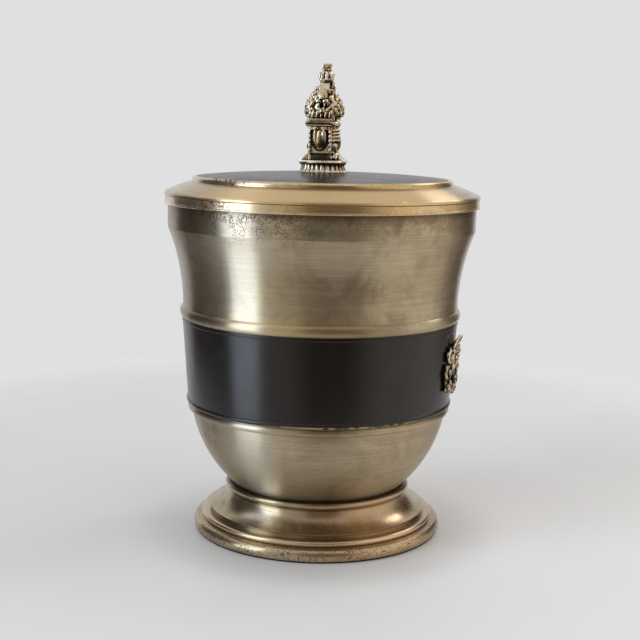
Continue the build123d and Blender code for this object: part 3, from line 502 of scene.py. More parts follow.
def body_brass():
    """The body: brushed brass with the tints and tarnish of its sides and heights, a painted highlight and a
    painted shadow under the rim.
    """
    look, tone, colour, rough, normal = brushed_brass("satin_brass")
    colour = add_patina(look, colour)
    collar = look.spread(look.z, RIM_LOW - 22.0, RIM_LOW - 2.0)
    colour, stain = add_stains_and_rim_shadow(look, colour, collar)
    colour = add_tints_and_highlight(look, colour, tone)
    colour, specks = add_specks(look, colour, collar)
    rough = look.math("ADD", rough, look.all_of(look.any_of(stain, specks), 0.16))
    return look.finish(colour, rough, look.bump(specks, -0.02, after=normal))


def add_patina(look, colour):
    """Brown clouds, thickest in a belt above the band in front."""
    cloud = look.spread(look.noise(30.0, 5.0, 0.65, warp=0.9, seed=21.0), 0.46, 0.70)
    belt = look.all_of(look.level(BAND_HIGH + 24.0, 15.0), look.facing(2.0, 62.0))
    patina = look.all_of(cloud, look.any_of(look.all_of(belt, 0.85), 0.4))
    colour = look.mix(patina, colour, PATINA)
    return look.mix(look.all_of(belt, 0.28), colour, BELT)


def add_stains_and_rim_shadow(look, colour, collar):
    """Smudges on the collar and over the band, a singed patch and a painted shadow under the rim."""
    rim_shadow = look.spread(look.z, RIM_LOW - 4.5, RIM_LOW + 0.2)
    over_band = look.level(BAND_HIGH + 9.0, 5.5)
    smudge = look.spread(look.noise(13.0, 6.0, 0.68, warp=1.2, seed=2.0), 0.42, 0.7)
    stain = look.all_of(smudge, look.any_of(look.all_of(collar, 0.6), look.all_of(over_band, 0.45), 0.12))
    colour = look.mix(stain, colour, STAIN)
    singed = look.all_of(look.level(BAND_HIGH + 2.0, 9.0), look.facing(14.0, 24.0), 0.55)
    colour = look.mix(singed, colour, SINGED)
    # painted shadow: the collar darkened just under the rim ring's overhang
    return look.mix(look.all_of(rim_shadow, 0.8), colour, RIM_SHADOW), stain


def add_tints_and_highlight(look, colour, tone):
    """Golden sides, a painted silvery highlight left of the front, a dark left side, a yellow streak and a
    spot of rust.
    """
    golden = look.all_of(
        look.level(BAND_HIGH + 5.0, 9.0),
        look.facing(-16.0, 44.0),
        look.spread(tone, 0.3, 0.6, 0.3, 0.75),
    )
    colour = look.mix(golden, colour, GOLDEN)
    streak = look.all_of(
        look.facing(-21.0, 7.0),
        look.level(BAND_HIGH + 18.0, 15.0),
        look.spread(look.noise(4.0, 4.0, seed=9.0), 0.35, 0.6),
    )
    colour = look.mix(look.all_of(streak, 0.5), colour, STREAK)
    # painted highlight: a paler, silvery tint where the window is mirrored
    colour = look.mix(look.all_of(look.facing(-33.0, 20.0), 0.4), colour, SILVER_HIGHLIGHT)
    shade = look.all_of(
        look.facing(-68.0, 30.0),
        look.spread(look.z, BAND_LOW - 40.0, BAND_HIGH + 10.0, 0.35, 1.0),
        look.spread(look.noise(9.0, 5.0, 0.65, warp=1.0, seed=27.0), 0.30, 0.55, 0.55, 1.0),
    )
    colour = look.mix(look.all_of(shade, 0.8), colour, SHADE)
    rust = look.all_of(
        look.facing(-60.0, 5.0),
        look.level(BAND_LOW - 14.0, 5.0),
        look.spread(look.noise(3.0, 4.0, seed=11.0), 0.4, 0.6),
    )
    return look.mix(rust, colour, RUST)


def add_specks(look, colour, collar):
    """Mottling under the rim and dark specks on the collar, most of them left of the front."""
    speckled = look.all_of(collar, look.facing(-26.0, 34.0))
    mottle = look.spread(look.noise(2.6, 5.0, 0.7, warp=0.8, seed=17.0), 0.47, 0.6)
    mottled = look.all_of(mottle, look.spread(look.z, RIM_LOW - 11.0, RIM_LOW - 1.0), 0.75)
    colour = look.mix(look.all_of(mottled, look.any_of(speckled, 0.35)), colour, MOTTLE)
    specks = look.all_of(
        look.spots(0.95, 0.5),
        look.spread(look.noise(6.0, 4.0, 0.6, seed=4.0), 0.40, 0.58),
        look.any_of(speckled, look.all_of(collar, 0.3), 0.05),
    )
    return look.mix(specks, colour, SPECK), specks


def spun_brass(name, along, lines_seed, size, tone_seed, dark, light, scored):
    """Finer spun brass: the look, its turning marks and its colour."""
    look = Look(name, metallic=1.0)
    look.brushed(0.7)
    lines = look.lines(along, 0.3, seed=lines_seed)
    tone = look.noise(size, 4.0, 0.6, seed=tone_seed)
    colour = look.mix(look.spread(tone, 0.35, 0.65), dark, light)
    return look, lines, look.mix(look.spread(lines, 0.35, 0.8, 0.0, 0.4), colour, scored)


def golden_brass():
    """The rim ring and the bezel: yellower, with a painted pale highlight on the left and rust left of the
    front.
    """
    metal = (GOLD, PALE_GOLD, GOLD_SCORED)
    look, lines, colour = spun_brass("golden_brass", 18.0, 5.0, 20.0, 1.0, *metal)
    # painted highlight: paler, silvery gold on the left, where the window is mirrored
    colour = look.mix(look.all_of(look.facing(-62.0, 62.0), 0.55), colour, GOLD_HIGHLIGHT)
    rust = look.all_of(
        look.spread(look.noise(5.0, 6.0, 0.7, warp=1.5, seed=7.0), 0.40, 0.60),
        look.any_of(look.facing(-43.0, 15.0), 0.2),
    )
    colour = look.mix(rust, colour, RING_RUST)
    rough = look.spread(lines, 0.2, 0.8, 0.2, 0.3)
    rough = look.math("ADD", rough, look.all_of(rust, 0.3))
    return look.finish(colour, rough, look.bump(lines, 0.01))


def foot_brass():
    """The spun foot: warm brass with a cove of brown tarnish and painted shade, two painted highlights, dark
    creases and a pitted, worn rim.
    """
    metal = (FOOT_BRASS, FOOT_LIGHT, FOOT_SCORED)
    look, lines, colour = spun_brass("foot_brass", 22.0, 9.0, 30.0, 5.0, *metal)
    colour = add_foot_tints_shade_and_highlights(look, colour)
    crease = look.any_of(
        look.all_of(look.level(FOOT_LOW + 5.8, 0.9), 0.3),
        look.all_of(look.level(FOOT_LOW + 10.3, 1.4), 0.6),
        look.level(FOOT_HIGH - 0.2, 1.2),
        look.all_of(look.level(FOOT_LOW + 20.8, 1.3), 0.8),
    )
    colour = look.mix(look.all_of(crease, 0.9), colour, CREASE)
    pits = look.all_of(
        look.spots(1.2, 0.45, seed=2.0),
        look.spread(look.z, FOOT_LOW + 8.0, FOOT_LOW + 4.0),
        look.spread(look.noise(8.0, 4.0, seed=6.0), 0.4, 0.6),
    )
    colour = look.mix(pits, colour, PITS)
    rough = look.spread(lines, 0.2, 0.8, 0.22, 0.32)
    rough = look.math("ADD", rough, look.all_of(pits, 0.25))
    normal = look.bump(pits, -0.03, after=look.bump(lines, 0.012))
    return look.finish(colour, rough, normal)


def add_foot_tints_shade_and_highlights(look, colour):
    """The cove, darkened by brown tarnish and painted shade, with two painted highlights; the warm right
    side and the worn bead.
    """
    cove = look.level(FOOT_LOW + 14.5, 6.5)
    cloud = look.spread(look.noise(14.0, 5.0, 0.65, warp=1.0, seed=23.0), 0.4, 0.62, 0.45, 1.0)
    # brown tarnish clouds and painted shade: the cove darkened all round
    colour = look.mix(look.all_of(cove, look.all_of(cloud, 0.8)), colour, COVE_SHADE_BROWN)
    # painted highlights: two pale patches on the cove, left and right of the front
    cove_highlights = look.level(FOOT_LOW + 14.0, 6.0)
    left, right = look.all_of(look.facing(-37.0, 15.0), 0.65), look.all_of(look.facing(46.0, 14.0), 0.3)
    colour = look.mix(look.all_of(cove_highlights, look.any_of(left, right)), colour, COVE_HIGHLIGHT)
    colour = look.mix(look.all_of(look.facing(30.0, 45.0), 0.4), colour, FOOT_WARM)
    bead = look.all_of(look.level(FOOT_LOW + 7.4, 1.8), 0.65)
    return look.mix(bead, colour, BEAD_WORN)


def dark_lacquer(name, gloss):
    """Near-black brown lacquer, chipped along the band's foot; gloss is its lowest roughness."""
    look = Look(name)
    tone = look.noise(35.0, 4.0, 0.6, seed=3.0)
    colour = look.mix(look.spread(tone, 0.3, 0.7), LACQUER, BROWN_LACQUER)
    rough = look.spread(look.noise(12.0, 5.0, 0.65, seed=8.0), 0.3, 0.7, gloss, gloss + 0.06)
    normal = look.bump(look.noise(1.4, 2.0, 0.5, seed=4.0), 0.004)
    chipped = look.all_of(
        look.level(BAND_LOW + 0.5, 1.1),
        look.facing(14.0, 40.0),
        look.spread(look.noise(6.0, 5.0, 0.7, seed=14.0), 0.40, 0.50),
    )
    colour = look.mix(chipped, colour, CHIPPED)
    rough = look.math("ADD", rough, look.all_of(chipped, 0.15))
    return look.finish(colour, rough, normal, metallic=chipped)


def satin_liner():
    look = Look("liner_metal", metallic=1.0)
    look.brushed(0.7)
    lines = look.lines(30.0, 0.4, seed=12.0)
    colour = look.mix(look.spread(lines, 0.3, 0.8), ALUMINIUM, DULL_ALUMINIUM)
    return look.finish(colour, look.spread(lines, 0.2, 0.8, 0.26, 0.38), look.bump(lines, 0.01))


def plain(name, colour, roughness, metallic=0.0, grain=0.4, depth=0.02):
    """A small or hidden part: one tone broken by a fine grain."""
    look = Look(name, metallic=metallic)
    speckle = look.noise(grain, 3.0)
    darker = tuple(0.7 * c for c in colour)
    shade = look.mix(look.spread(speckle, 0.35, 0.65), darker, colour)
    return look.finish(shade, roughness, look.bump(speckle, depth))


def dress_turned_parts():
    """Give the CAD nodes their materials, all but those that sculpted or turned pieces replace, and the lid
    its panel.
    """
    gold = golden_brass()
    metal = satin_liner()
    steel = plain("steel", STEEL, 0.35, metallic=1.0)
    foam = plain("foam", FOAM, 0.9, grain=0.8, depth=0.2)
    for nodes, material in (
        (("body_shell",), body_brass()),
        (("lid_shell",), flange_brass()),
        (("rim_ring", "lid_bezel"), gold),
        (("foot",), foot_brass()),
        (("band",), dark_lacquer("dark_lacquer", BAND_GLOSS)),
        (("liner", "lid_pan"), metal),
        (("foot_bolt", "foot_washer", "foot_nut", "medallion_washers", "medallion_nuts"), steel),
        (("finial_stud", "finial_washer"), steel),
        (("insulation", "lid_insulation"), foam),
        (("foot_pad",), plain("felt", FELT, 0.95, grain=0.3, depth=0.15)),
        (("rim_gasket",), plain("rubber", RUBBER, 0.6)),
        (("finial_nut",), plain("plated_nut", PLATED, 0.22, metallic=1.0)),
    ):
        for node in nodes:
            dress(node, material)
    add_panel(dark_lacquer("lid_lacquer", PANEL_GLOSS))


def lathe(name, outline, count):
    """A closed turned form; outline holds (radius, height) in millimetres, from axis to axis."""
    points, faces = [], []
    rings = len(outline) - 2
    for n in range(count):
        angle = 2 * math.pi * n / count
        points += [(r * math.cos(angle) * MM, r * math.sin(angle) * MM, z * MM) for r, z in outline[1:-1]]
        here, after = n * rings, (n + 1) % count * rings
        faces += [(here + k, here + k + 1, after + k + 1, after + k) for k in range(rings - 1)]
    top_point, under_point = len(points), len(points) + 1
    points += [(0.0, 0.0, outline[0][1] * MM), (0.0, 0.0, outline[-1][1] * MM)]
    for n in range(count):
        here, after = n * rings, (n + 1) % count * rings
        faces.append((top_point, here, after))
        faces.append((under_point, after + rings - 1, here + rings - 1))
    return make_object(name, points, faces)


def add_panel(lacquer):
    """The lid's panel: full at its edge, then drawn up to a low peak under the lion."""
    low, top, edge = LEDGE + PANEL_GAP, DOME_TOP, DOME_RADIUS
    outline = (
        (0.0, top + 0.6), (12.0, top + 0.6), (16.0, top + 0.25), (22.0, top - 0.1), (30.0, top - 0.45),
        (40.0, top - 0.85), (50.0, top - 1.35), (58.0, top - 2.0), (63.0, top - 2.65),
        (edge - 0.3, top - 3.0), (edge, top - 3.4), (edge, low), (edge - 1.2, low), (edge - 2.5, top - 4.1),
        (0.0, top - 2.0),
    )
    piece = lathe("lid_panel", outline, 192)
    piece.data.materials.append(lacquer)
    piece.modifiers.new("smooth", "SUBSURF").render_levels = 1
    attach(piece, "lid")
    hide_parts("lid_dome")


# ---- The crowned lion on the lid ----

# Points are in millimetres from the middle of the knob's foot; the lion looks along -X
LION_BASE = levels("finial")[0]
LION_STEP, LION_RECESS = 0.2, 0.9
LION_FLUTES = 26
LION_LEAN = -1.2

# Linear colours of the cast brass, with its dirt and its painted shade
CAST, CAST_PALE, CAST_WORN = (0.60, 0.42, 0.21), (0.82, 0.76, 0.62), (0.93, 0.89, 0.79)
CAST_SHADE, CAST_DIRT_AND_SHADE, CAST_PITS = (0.17, 0.10, 0.06), (0.030, 0.021, 0.015), (0.16, 0.11, 0.06)


def cast_brass(name, ground=None, shade=None):
    """Polished cast brass, dark with old polish and painted shade in its recesses.

    ground(look) is 1 where the relief is lowest, darkened like the recesses, and shade(look) is 1 where
    brown shade is painted.
    """
    look = Look(name, metallic=1.0)
    depth = look.add("ShaderNodeAttribute", attribute_name="cavity").outputs["Fac"]
    uneven = look.noise(2.2, 4.0, 0.6, seed=2.0)
    deep = look.math("ADD", depth, look.all_of(look.math("SUBTRACT", uneven, 0.5), 0.12))
    # dirt and painted shade: the deeper the recess, the darker
    dirt_and_shade = look.spread(deep, 0.53, 0.69)
    if ground:
        dirt_and_shade = look.any_of(dirt_and_shade, ground(look))
    worn = look.spread(deep, 0.47, 0.36)
    tone = look.noise(5.0, 4.0, 0.6, seed=6.0)
    colour = look.mix(look.spread(tone, 0.40, 0.62), CAST, CAST_PALE)
    colour = look.mix(look.all_of(worn, 0.75), colour, CAST_WORN)
    if shade:
        # painted shade: brown where shade(look) is 1
        colour = look.mix(shade(look), colour, CAST_SHADE)
    colour = look.mix(dirt_and_shade, colour, CAST_DIRT_AND_SHADE)
    pits = look.all_of(look.spots(0.9, 0.4, seed=5.0), look.spread(uneven, 0.5, 0.62))
    colour = look.mix(look.all_of(pits, 0.7), colour, CAST_PITS)
    rough = look.math("ADD", look.spread(tone, 0.3, 0.7, 0.10, 0.18), look.all_of(dirt_and_shade, 0.4))
    grain = look.bump(look.noise(0.7, 3.0, 0.6, seed=3.0), 0.03)
    normal = look.bump(pits, -0.04, after=grain)
    return look.finish(colour, rough, normal)


def lion_shade(look):
    """Painted brown shade on the front of the smooth moulding over the shield and on the shield's field."""
    front = look.facing(-12.0, 75.0)
    moulding = look.level(LION_BASE + 26.2, 2.2)
    field = look.all_of(look.level(LION_BASE + 15.0, 5.5), look.facing(-14.0, 50.0))
    return look.all_of(look.any_of(moulding, field), look.spread(front, 0.0, 0.5), 0.65)


def crest_ground_and_shade(look):
    """1 at the crest's back plate, darkened as dirt and painted shade, and over its lower half, painted
    shade that stays off the top of the relief.
    """
    share = look.math("DIVIDE", look.math("SUBTRACT", look.z, BAND_LOW), BAND_HIGH - BAND_LOW)
    flare = look.all_of(share, BAND_HEAD_RADIUS - BAND_FOOT_RADIUS)
    seat = look.math("ADD", flare, BAND_FOOT_RADIUS)
    relief = look.math("SUBTRACT", look.radius, seat)
    low = look.spread(relief, 2.1, 1.1)
    # painted shade: the crest's lower half darker, except on the highest relief
    lower_shade = look.all_of(
        look.spread(look.z, CREST_MIDDLE + 2.0, CREST_MIDDLE - 5.0),
        look.spread(look.noise(7.0, 4.0, 0.6, warp=0.8, seed=31.0), 0.38, 0.56),
        look.spread(relief, 3.9, 2.9),
    )
    return look.any_of(low, lower_shade)


def tilt(axis, degrees):
    """A rotation matrix about one axis."""
    return np.array(Matrix.Rotation(math.radians(degrees), 3, axis))


def sculpt_plinth(lion):
    """The fluted foot, its sharp flange and the block the lion sits on."""

    def fluted(z, angle):
        waisted = 10.9 + 1.9 * (1 - z / 4.7) ** 2
        return waisted + 0.5 * np.abs(np.cos(LION_FLUTES / 2 * angle)) - 0.25

    def flange(z, angle):
        return 12.75 - 1.1 * np.abs(z - 5.3)

    lion.turned(fluted, 0.0, 4.8, 13.2, blend=0.1)
    lion.turned(flange, 4.5, 6.3, 13.0, blend=0.1)
    lion.block((-0.2, 0.0, 8.2), (6.4, 6.2, 2.2), 0.25, blend=0.2)
    lion.block((-0.2, 0.0, 10.3), (6.8, 6.5, 0.35), 0.2, blend=0.1)
    for side in (-1, 1):
        lion.block((-0.4, side * 8.3, 7.2), (4.6, 4.1, 1.6), 0.2, blend=0.15, turn=tilt("X", -side * 43))
        lion.block((3.8, side * 7.2, 7.0), (4.2, 4.2, 1.5), 0.2, blend=0.2, turn=tilt("X", -side * 34))


def sculpt_body(lion):
    """Torso, haunches, hind legs with toes, and forelegs gripping the shield."""
    lion.bar((3.5, 0.0, 12.0), (0.8, 0.0, 30.0), 5.6, 5.2, blend=0.6)
    lion.ball((-2.0, 0.0, 25.0), (4.0, 5.6, 6.0), blend=1.2)
    for side in (-1, 1):
        lion.ball((2.8, side * 5.0, 15.6), (5.2, 3.6, 5.6), blend=1.0)
        lion.bar((2.2, side * 5.8, 15.5), (-2.6, side * 6.3, 13.6), 2.5, 2.0, blend=0.9)
        back = 4.0 if side > 0 else 0.0
        lion.bar((-2.4, side * 6.4, 13.4), (back - 1.8, side * 7.2, 10.0), 1.7, 1.5, blend=0.6)
        lion.ball((back - 3.4, side * 7.5, 8.6), (2.9, 2.0, 1.7), blend=0.6)
        for toe in (-1, 0, 1):
            middle = (back - 5.8, side * 7.5 + 1.2 * toe, 8.0 - 0.3 * abs(toe))
            lion.ball(middle, (1.4, 0.68, 1.1), blend=0.15)
        shoulder, elbow, paw = (1.0, side * 6.2, 29.5), (-1.8, side * 7.4, 25.2), (-5.4, side * 6.7, 24.9)
        lion.path((shoulder, elbow, paw), (2.4, 1.9, 1.5), blend=0.8)
        for toe in range(3):
            lion.ball((-7.6, side * (5.3 + 1.0 * toe), 25.8 - 0.3 * toe), (1.2, 0.6, 0.9), blend=0.2)
    for rib in range(4):
        height = 16.4 + 1.75 * rib
        lion.path(((-4.4, -6.2, height), (-1.4, -8.4, height + 0.3), (2.6, -7.4, height)), (0.75, 0.95, 0.6))
    lion.path(((-3.4, -6.6, 27.4), (-2.2, -8.4, 25.2), (-3.0, -7.6, 22.4)), (0.8, 1.5, 0.6))


def sculpt_shield(lion):
    """The framed shield: beaded sides, lobed field, capital and a smooth head moulding."""
    front = -7.3
    lion.block((front + 1.3, 0.0, 17.2), (0.9, 6.2, 7.2), 0.25, blend=0.2)
    for side in (-1, 1):
        for bead in range(5):
            lion.ball((front + 0.3, side * 5.4, 11.6 + 2.3 * bead), (0.8, 0.8, 1.25), blend=0.15)
    lion.ball((front + 1.0, 0.0, 16.9), (2.7, 4.1, 5.7), blend=0.2)
    for lobe in (-1, 0, 1):
        lion.ball((front - 0.3, 2.3 * lobe, 18.6 - 0.9 * (1 - abs(lobe))), (1.3, 1.25, 4.0), blend=0.7)
    edge = ((4.5, 21.4), (4.3, 16.5), (2.9, 12.9), (0.0, 11.2), (-2.9, 12.9), (-4.3, 16.5), (-4.5, 21.4))
    lion.path([(front + 0.1, y, z) for y, z in edge], [0.42] * 7, blend=0.1, carve=True)
    lion.block((front + 0.9, 0.0, 22.6), (1.2, 5.6, 1.1), 0.3, blend=0.15)
    lion.ball((front - 0.4, 2.3, 22.6), (0.8, 1.7, 1.05), blend=0.15)
    lion.block((front - 0.3, -2.4, 22.6), (0.6, 1.5, 0.85), 0.3, blend=0.15)
    lion.block((front + 0.8, 0.0, 24.2), (1.7, 6.6, 0.35), 0.15, blend=0.05)
    lion.block((front + 0.8, 0.0, 26.3), (1.7, 6.8, 1.55), 0.9, blend=0.1)


def mane_width(height):
    return np.interp(height, (27.0, 31.0, 34.0, 37.0, 40.0, 43.0, 45.0), (7.6, 9.0, 8.8, 7.6, 5.7, 3.4, 2.2))


def lock_of_hair(lion, angle, height, size):
    """One S-shaped lock of the mane, grooved down its middle and curled at its tip."""

    def place(turn, rise, out):
        bearing = math.radians(angle + turn)
        reach = mane_width(height + rise) + out
        return (0.9 - reach * math.cos(bearing), reach * math.sin(bearing), height + rise)

    sway = 9.0 if round(angle + height) % 2 else -9.0
    upper = [place(0, 2.4, -0.9), place(sway, 0.9, 0.2)]
    lower = [place(-0.4 * sway, -0.9, 0.6), place(sway, -2.2, 0.5)]
    lion.path(upper + lower, (0.8 * size, 1.25 * size, 1.1 * size, 0.45 * size), blend=0.15)
    lion.ball(place(1.5 * sway, -1.9, 0.8), 0.85 * size)
    lion.ball(place(1.5 * sway, -1.9, 1.6), 0.35 * size, carve=True)
    groove = [place(0.2 * sway, 1.6, 0.9), place(0.6 * sway, 0.3, 1.5), place(0.0, -1.1, 1.6)]
    lion.path(groove, (0.15, 0.28, 0.15), blend=0.1, carve=True)


def sculpt_mane(lion):
    """A soft core under five rows of locks, open at the face, and a beard of five curls."""
    lion.turned(lambda z, angle: mane_width(z) - 0.6, 27.5, 44.0, 9.5, middle=(0.9, 0.0), blend=0.6)
    for row, (height, count, face) in enumerate(
        ((31.2, 15, 36.0), (34.4, 14, 40.0), (37.4, 12, 42.0), (40.2, 10, 46.0), (42.6, 8, 60.0))
    ):
        spread = (360.0 - 2 * face) / (count - 1)
        for n in range(count):
            lock_of_hair(lion, face + spread * n, height, 1.05 - 0.06 * row)
    for n in range(5):
        y = LION_LEAN + 2.3 * (n - 2)
        lion.path(((-6.2, y, 32.0), (-7.9, y, 30.4), (-8.2, y + 0.5, 28.6)), (0.9, 1.15, 0.5), blend=0.15)


def sculpt_head(lion):
    """The roaring face, looking along -X."""
    mid = LION_LEAN
    lion.ball((-1.5, mid, 37.6), (5.4, 4.7, 7.0), blend=0.5)
    for side in (-1, 1):
        lion.ball((-4.6, mid + side * 3.6, 37.4), (2.4, 2.0, 2.4), blend=0.5)
        lion.bar((-3.7, mid + side * 1.0, 44.2), (-7.9, mid + side * 0.9, 38.7), 1.9, 1.9, blend=0.9)
        lion.ball((-8.5, mid + side * 1.8, 36.4), (1.7, 1.75, 1.35), blend=0.3)
        lion.ball((-6.4, mid + side * 3.0, 41.0), (1.1, 1.15, 0.95), carve=True)
        lion.ball((-6.0, mid + side * 3.0, 41.0), 0.85, blend=0.05)
        lion.bar((-6.6, mid + side * 1.8, 42.6), (-4.8, mid + side * 4.6, 41.9), 0.65, 0.45, blend=0.2)
        lion.ball((-2.6, mid + side * 4.6, 43.2), (1.0, 1.3, 1.6), blend=0.3)
        lion.ball((-3.3, mid + side * 4.8, 43.3), (0.6, 0.6, 1.0), blend=0.2, carve=True)
    lion.ball((-9.4, mid, 38.2), (1.1, 1.5, 1.0), blend=0.2)
    for side in (-1, 1):
        lion.ball((-10.4, mid + side * 0.7, 38.0), 0.4, carve=True)
    lion.bar((-3.5, mid, 31.8), (-7.9, mid, 31.5), 2.5, 1.8, blend=0.4)
    lion.ball((-7.9, mid, 33.9), (5.0, 2.7, 1.9), blend=0.3, carve=True)
    lion.ball((-7.0, mid, 32.6), (2.4, 1.1, 0.5), blend=0.2)
    for side in (-1, 1):
        lion.bar((-9.2, mid + side * 1.6, 35.3), (-9.3, mid + side * 1.5, 33.5), 0.5, 0.12)
        lion.bar((-9.0, mid + side * 1.2, 32.4), (-9.1, mid + side * 1.2, 33.6), 0.4, 0.12)


def sculpt_crown(lion):
    """Flared base, a ring of beads, eight half arches and a cross-shaped top."""

    def base(z, angle):
        return 2.4 + 0.24 * (z - 44.2) + 0.22 * np.abs(np.cos(5 * angle))

    middle = (-1.6, LION_LEAN)
    lion.turned(base, 43.4, 47.4, 4.0, middle=middle, blend=0.2)
    for n in range(16):
        angle = math.pi * n / 8
        x, y = middle[0] + 3.1 * math.cos(angle), middle[1] + 3.1 * math.sin(angle)
        lion.ball((x, y, 47.6), 0.62)
    lion.ball((*middle, 48.6), (2.7, 2.7, 2.5))
    for n in range(8):
        angle = math.pi * (n + 0.5) / 4
        c, s = math.cos(angle), math.sin(angle)
        rise = ((2.9, 47.8), (3.0, 49.4), (2.2, 50.9), (0.7, 51.6))
        arch = [(middle[0] + r * c, middle[1] + r * s, z) for r, z in rise]
        lion.path(arch, (0.7, 1.0, 0.8, 0.6), blend=0.1)
    top = (-1.4, LION_LEAN - 0.5)
    lion.bar((*top, 51.0), (*top, 54.0), 1.1, 1.3, blend=0.2)
    for side in (-1, 1):
        lion.ball((top[0], top[1] + side * 1.35, 52.6), (1.3, 1.25, 1.15))
    lion.block((top[0], top[1], 54.7), (1.3, 2.5, 1.1), 0.45, blend=0.15)
    lion.bar((top[0] - 1.5, top[1], 51.4), (top[0] - 1.5, top[1], 53.6), 0.4, carve=True)


def sculpt_tail(lion):
    """The thin twisted strand that rises past the shoulder to a bead beside the crown."""
    rise = ((-3.9, -6.6, 24.0), (-4.3, -6.0, 30.0), (-4.2, -5.5, 36.0))
    line = (*rise, (-2.4, -5.2, 42.0), (-0.4, -4.7, 47.0))
    lion.path(line, (1.5, 1.6, 1.6, 1.4, 1.0), blend=0.1, carve=True)
    lion.path(line, (0.6, 0.7, 0.7, 0.6, 0.5), blend=0.1)
    lion.bar(line[-1], (0.3, -4.8, 49.6), 0.45)
    lion.ball((0.3, -4.8, 50.0), (0.75, 0.75, 1.0))
    for n in range(22):
        share = n / 22 * (len(line) - 1)
        first = int(share)
        start, end = np.array(line[first]), np.array(line[first + 1])
        lion.ball(start + (end - start) * (share - first), 0.95)


def add_lion():
    """The knob: a crowned lion that sits on a fluted foot and holds a shield."""
    lion = Sculpt((-13.4, -13.4, -0.4), (13.4, 13.4, 56.4), LION_STEP)
    sculpt_plinth(lion)
    sculpt_body(lion)
    sculpt_mane(lion)
    sculpt_tail(lion)
    sculpt_shield(lion)
    sculpt_head(lion)
    sculpt_crown(lion)
    piece = lion.mesh("crowned_lion", LION_RECESS, lambda points: points + np.array((0.0, 0.0, LION_BASE)))
    piece.data.materials.append(cast_brass("cast_brass", shade=lion_shade))
    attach(piece, "lid")
    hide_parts("finial")


# ---- The crest on the band ----

# Points are in millimetres from the crest's middle, laid flat with its face toward -Y
CREST_STEP, CREST_RECESS = 0.15, 0.7
BAND_FOOT_RADIUS, BAND_HEAD_RADIUS = 69.9, 73.0
CREST_MIDDLE = (levels("medallion")[0] + levels("medallion")[1]) / 2


def round_the_band(points):
    """Bend flat work, with its face toward -Y, round the band's cone."""
    height = points[:, 2] + CREST_MIDDLE
    share = (height - BAND_LOW) / (BAND_HIGH - BAND_LOW)
    seat = BAND_FOOT_RADIUS + share * (BAND_HEAD_RADIUS - BAND_FOOT_RADIUS)
    turn = points[:, 0] / seat
    reach = seat - points[:, 1]
    return np.stack([reach * np.sin(turn), -reach * np.cos(turn), height], 1)


def scroll(crest, middle, side, outer, start, turns, thick):
    """A leaf scroll that winds in from its outer end to an eye."""
    points, radii = [], []
    steps = 9
    for n in range(steps):
        share = n / (steps - 1)
        angle = math.radians(start + 360 * turns * share)
        reach = outer * (1 - 0.72 * share)
        x, z = middle[0] + reach * math.cos(angle), middle[1] + reach * math.sin(angle)
        points.append((side * x, -1.0 - 1.5 * share, z))
        radii.append(thick * (1.1 - 0.45 * share))
    crest.path(points, radii, blend=0.25, steps=4)
    crest.ball((side * middle[0], -2.5, middle[1]), 1.0, blend=0.3)
    for n in (1, 2, 3):
        x, _, z = points[n]
        out = Vector((x - side * middle[0], 0.0, z - middle[1])).normalized() * 0.9
        crest.ball((x + out.x, -0.9, z + out.z), (1.3, 0.9, 1.3), blend=0.35)


def sculpt_arms(crest):
    """Domed shield with a raised border, a chevron and three balls."""
    crest.block((0.0, -0.9, 3.6), (6.6, 1.2, 4.4), 0.5, blend=0.2)
    crest.ball((0.0, -0.8, 0.2), (6.6, 1.7, 8.6), blend=0.6)
    crest.ball((0.0, -1.0, 1.5), (5.4, 2.0, 6.8), blend=0.6)
    border = ((0.0, 7.4), (3.4, 7.9), (6.6, 8.2), (6.7, 3.0), (5.6, -2.4), (3.0, -6.4), (0.0, -8.6))
    for side in (-1, 1):
        crest.path([(side * x, -2.1, z) for x, z in border], [0.85] * 7, blend=0.2)
        crest.path([(side * x * 0.83, -3.0, z * 0.84) for x, z in border], [0.32] * 7, blend=0.1, carve=True)
        crest.bar((0.0, -2.9, 3.2), (side * 4.9, -2.3, -0.8), 0.75, blend=0.2)
        crest.ball((side * 3.0, -2.6, 4.6), 0.95, blend=0.15)
    crest.ball((0.0, -2.9, -2.4), 1.05, blend=0.15)


def sculpt_coronet(crest):
    """A jewelled band with arches that meet under a ball."""
    for level, thick in ((9.2, 0.75), (10.9, 0.6)):
        rim = [(x, -2.6 + 0.02 * x * x, level - 0.012 * x * x) for x in (-6.6, -3.3, 0.0, 3.3, 6.6)]
        crest.path(rim, [thick] * 5, blend=0.2)
    crest.block((0.0, -1.7, 10.0), (6.2, 0.8, 1.1), 0.4, blend=0.3)
    for x in (-4.4, -2.2, 0.0, 2.2, 4.4):
        crest.ball((x, -2.9, 10.0 - 0.012 * x * x), 0.45)
    for side in (-1, 1):
        arch = ((6.3, -1.9, 11.0), (6.6, -2.6, 13.0), (4.0, -3.2, 14.8), (0.0, -3.5, 14.3))
        crest.path([(side * x, y, z) for x, y, z in arch], (0.85, 0.8, 0.8, 0.8), blend=0.2)
        crest.path(((side * 2.7, -2.2, 11.0), (side * 2.9, -3.2, 12.8), (0.0, -3.5, 14.3)), (0.6, 0.6, 0.6))
    crest.ball((0.0, -3.2, 14.9), (1.1, 1.1, 0.95))


